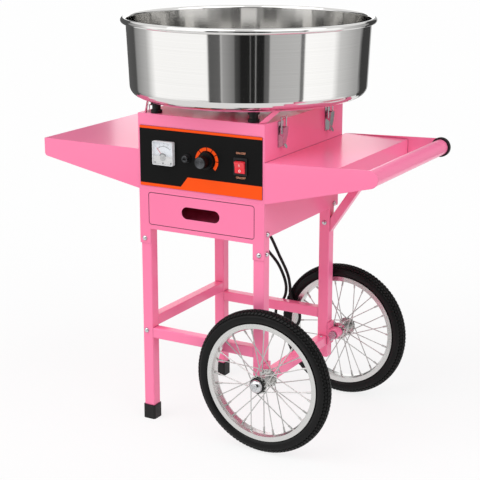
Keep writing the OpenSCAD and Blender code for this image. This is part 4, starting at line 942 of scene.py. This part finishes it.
def make_floor():
    """A wide white floor that keeps shadows and shows a little brighter to the eye and in reflections."""
    mesh = bpy.data.meshes.new("floor")
    corners = [(x * FLOOR_HALF, y * FLOOR_HALF, 0) for x, y in ((-1, -1), (1, -1), (1, 1), (-1, 1))]
    mesh.from_pydata(corners, [], [(0, 1, 2, 3)])
    look = bpy.data.materials.new("white_floor")
    tree = bare_tree(look)
    matt = add(tree, "ShaderNodeBsdfDiffuse", {"Color": FLOOR_GREY})
    glow = add(tree, "ShaderNodeEmission", {"Color": WHITE, "Strength": 1.0})
    shown = seen(tree, FLOOR_GLOW)
    mix = add(tree, "ShaderNodeMixShader", {0: shown, 1: matt.outputs[0], 2: glow.outputs[0]})
    add(tree, "ShaderNodeOutputMaterial", {"Surface": mix.outputs[0]})
    mesh.materials.append(look)
    floor = put("floor", mesh)


def make_sky():
    """An even white sky: it lights softly, and shows as white to the eye."""
    world = bpy.data.worlds.new("studio")
    bpy.context.scene.world = world
    tree = bare_tree(world)
    even = add(tree, "ShaderNodeBackground", {"Color": WHITE, "Strength": SKY_LIGHT})
    white = add(tree, "ShaderNodeBackground", {"Color": WHITE, "Strength": 1.0})
    mix = add(tree, "ShaderNodeMixShader", {0: seen(tree, 1.0), 1: even.outputs[0], 2: white.outputs[0]})
    add(tree, "ShaderNodeOutputWorld", {"Surface": mix.outputs[0]})


# Drum round the set: (degrees from the camera's side, how bright gloss sees it there), and the share of that
# which is left at its foot
DRUM_STOPS = [(-165, 1.45), (-164, 0.12), (-127, 0.1), (-123, 0.34), (-104, 0.62), (-92, 1.34), (-36, 1.34),
              (-34.2, 0.13), (-24.4, 0.16), (-23.9, 0.6), (-22.8, 0.6), (-22.2, 0.45), (-12.4, 0.25),
              (-11.4, 0.09), (-8, 0.06), (-6.5, 0.02), (1.0, 0.02), (1.2, 0.22), (1.7, 0.22), (1.9, 0.02),
              (5.5, 0.02), (5.8, 0.4), (6.3, 0.4), (6.6, 0.02), (12.8, 0.02), (13.8, 0.14), (17.4, 0.17),
              (18.4, 0.6), (45, 0.66), (46.2, 0.2), (48.6, 0.25), (50, 1.4), (80, 1.34), (88, 0.8),
              (123, 0.38), (126, 0.06), (150, 0.06), (153, 0.45), (163, 0.5), (166, 1.45), (195, 1.45)]
FOOT_STOPS = [(-165, 1.0), (-90, 1.0), (-82, 0.06), (-36, 0.06), (-30, 1.0), (195, 1.0)]
DRUM_RADIUS = 1.8
DRUM_HEIGHT = 1.6
FOOT_HEIGHT, FOOT_FADE = 0.21, 0.03
DRUM_STEPS = 1441


def studio_drum():
    """A drum round the object whose wall runs from pale to dark and back, and that gloss alone sees."""
    camera_side = math.degrees(math.atan2(CAMERA_PLACE[1], CAMERA_PLACE[0]))
    turn = np.linspace(DRUM_STOPS[0][0], DRUM_STOPS[-1][0], DRUM_STEPS)
    level = np.interp(turn, *np.array(DRUM_STOPS).T)
    foot = level * np.interp(turn, *np.array(FOOT_STOPS).T)
    around = np.radians(camera_side + turn)[:, None]
    height = np.array([[0.0, FOOT_HEIGHT, FOOT_HEIGHT + FOOT_FADE, DRUM_HEIGHT]]) + 0 * around
    wide = DRUM_RADIUS + 0 * height
    points, faces = skin(np.stack([wide * np.cos(around), wide * np.sin(around), height], -1))
    mesh = bpy.data.meshes.new("drum")
    mesh.from_pydata(points.tolist(), [], faces)
    levels = np.stack([foot, foot, level, level], -1)
    mesh.attributes.new("level", "FLOAT", "POINT").data.foreach_set("value", levels.ravel())
    look = bpy.data.materials.new("drum")
    tree = bare_tree(look)
    look.cycles.emission_sampling = "NONE"
    bright = add(tree, "ShaderNodeAttribute", attribute_name="level").outputs["Fac"]
    glow = add(tree, "ShaderNodeEmission", {"Color": WHITE, "Strength": bright})
    add(tree, "ShaderNodeOutputMaterial", {"Surface": glow.outputs[0]})
    mesh.materials.append(look)
    drum = put("drum", mesh)
    drum.visible_camera = False
    drum.visible_diffuse = False
    drum.visible_shadow = False
    drum.visible_transmission = False


# Lamps: name, place, strength and the width of the disc in radians
LAMP_AIM = (0, 0, 0.4)
LAMPS = [("key", (-1.2, -2.2, 3.2), 1.3, 0.9), ("fill", (2.4, -0.6, 2.8), 0.9, 1.0)]


def soft_sun(name, place, energy, width):
    """A sun with a wide disc, for soft shadows."""
    data = bpy.data.lights.new(name, "SUN")
    data.energy = energy
    data.angle = width
    look_from(put(name, data), place, LAMP_AIM)


make_floor()
make_sky()
studio_drum()
for row in LAMPS:
    soft_sun(*row)
bpy.context.scene.view_settings.view_transform = "Standard"
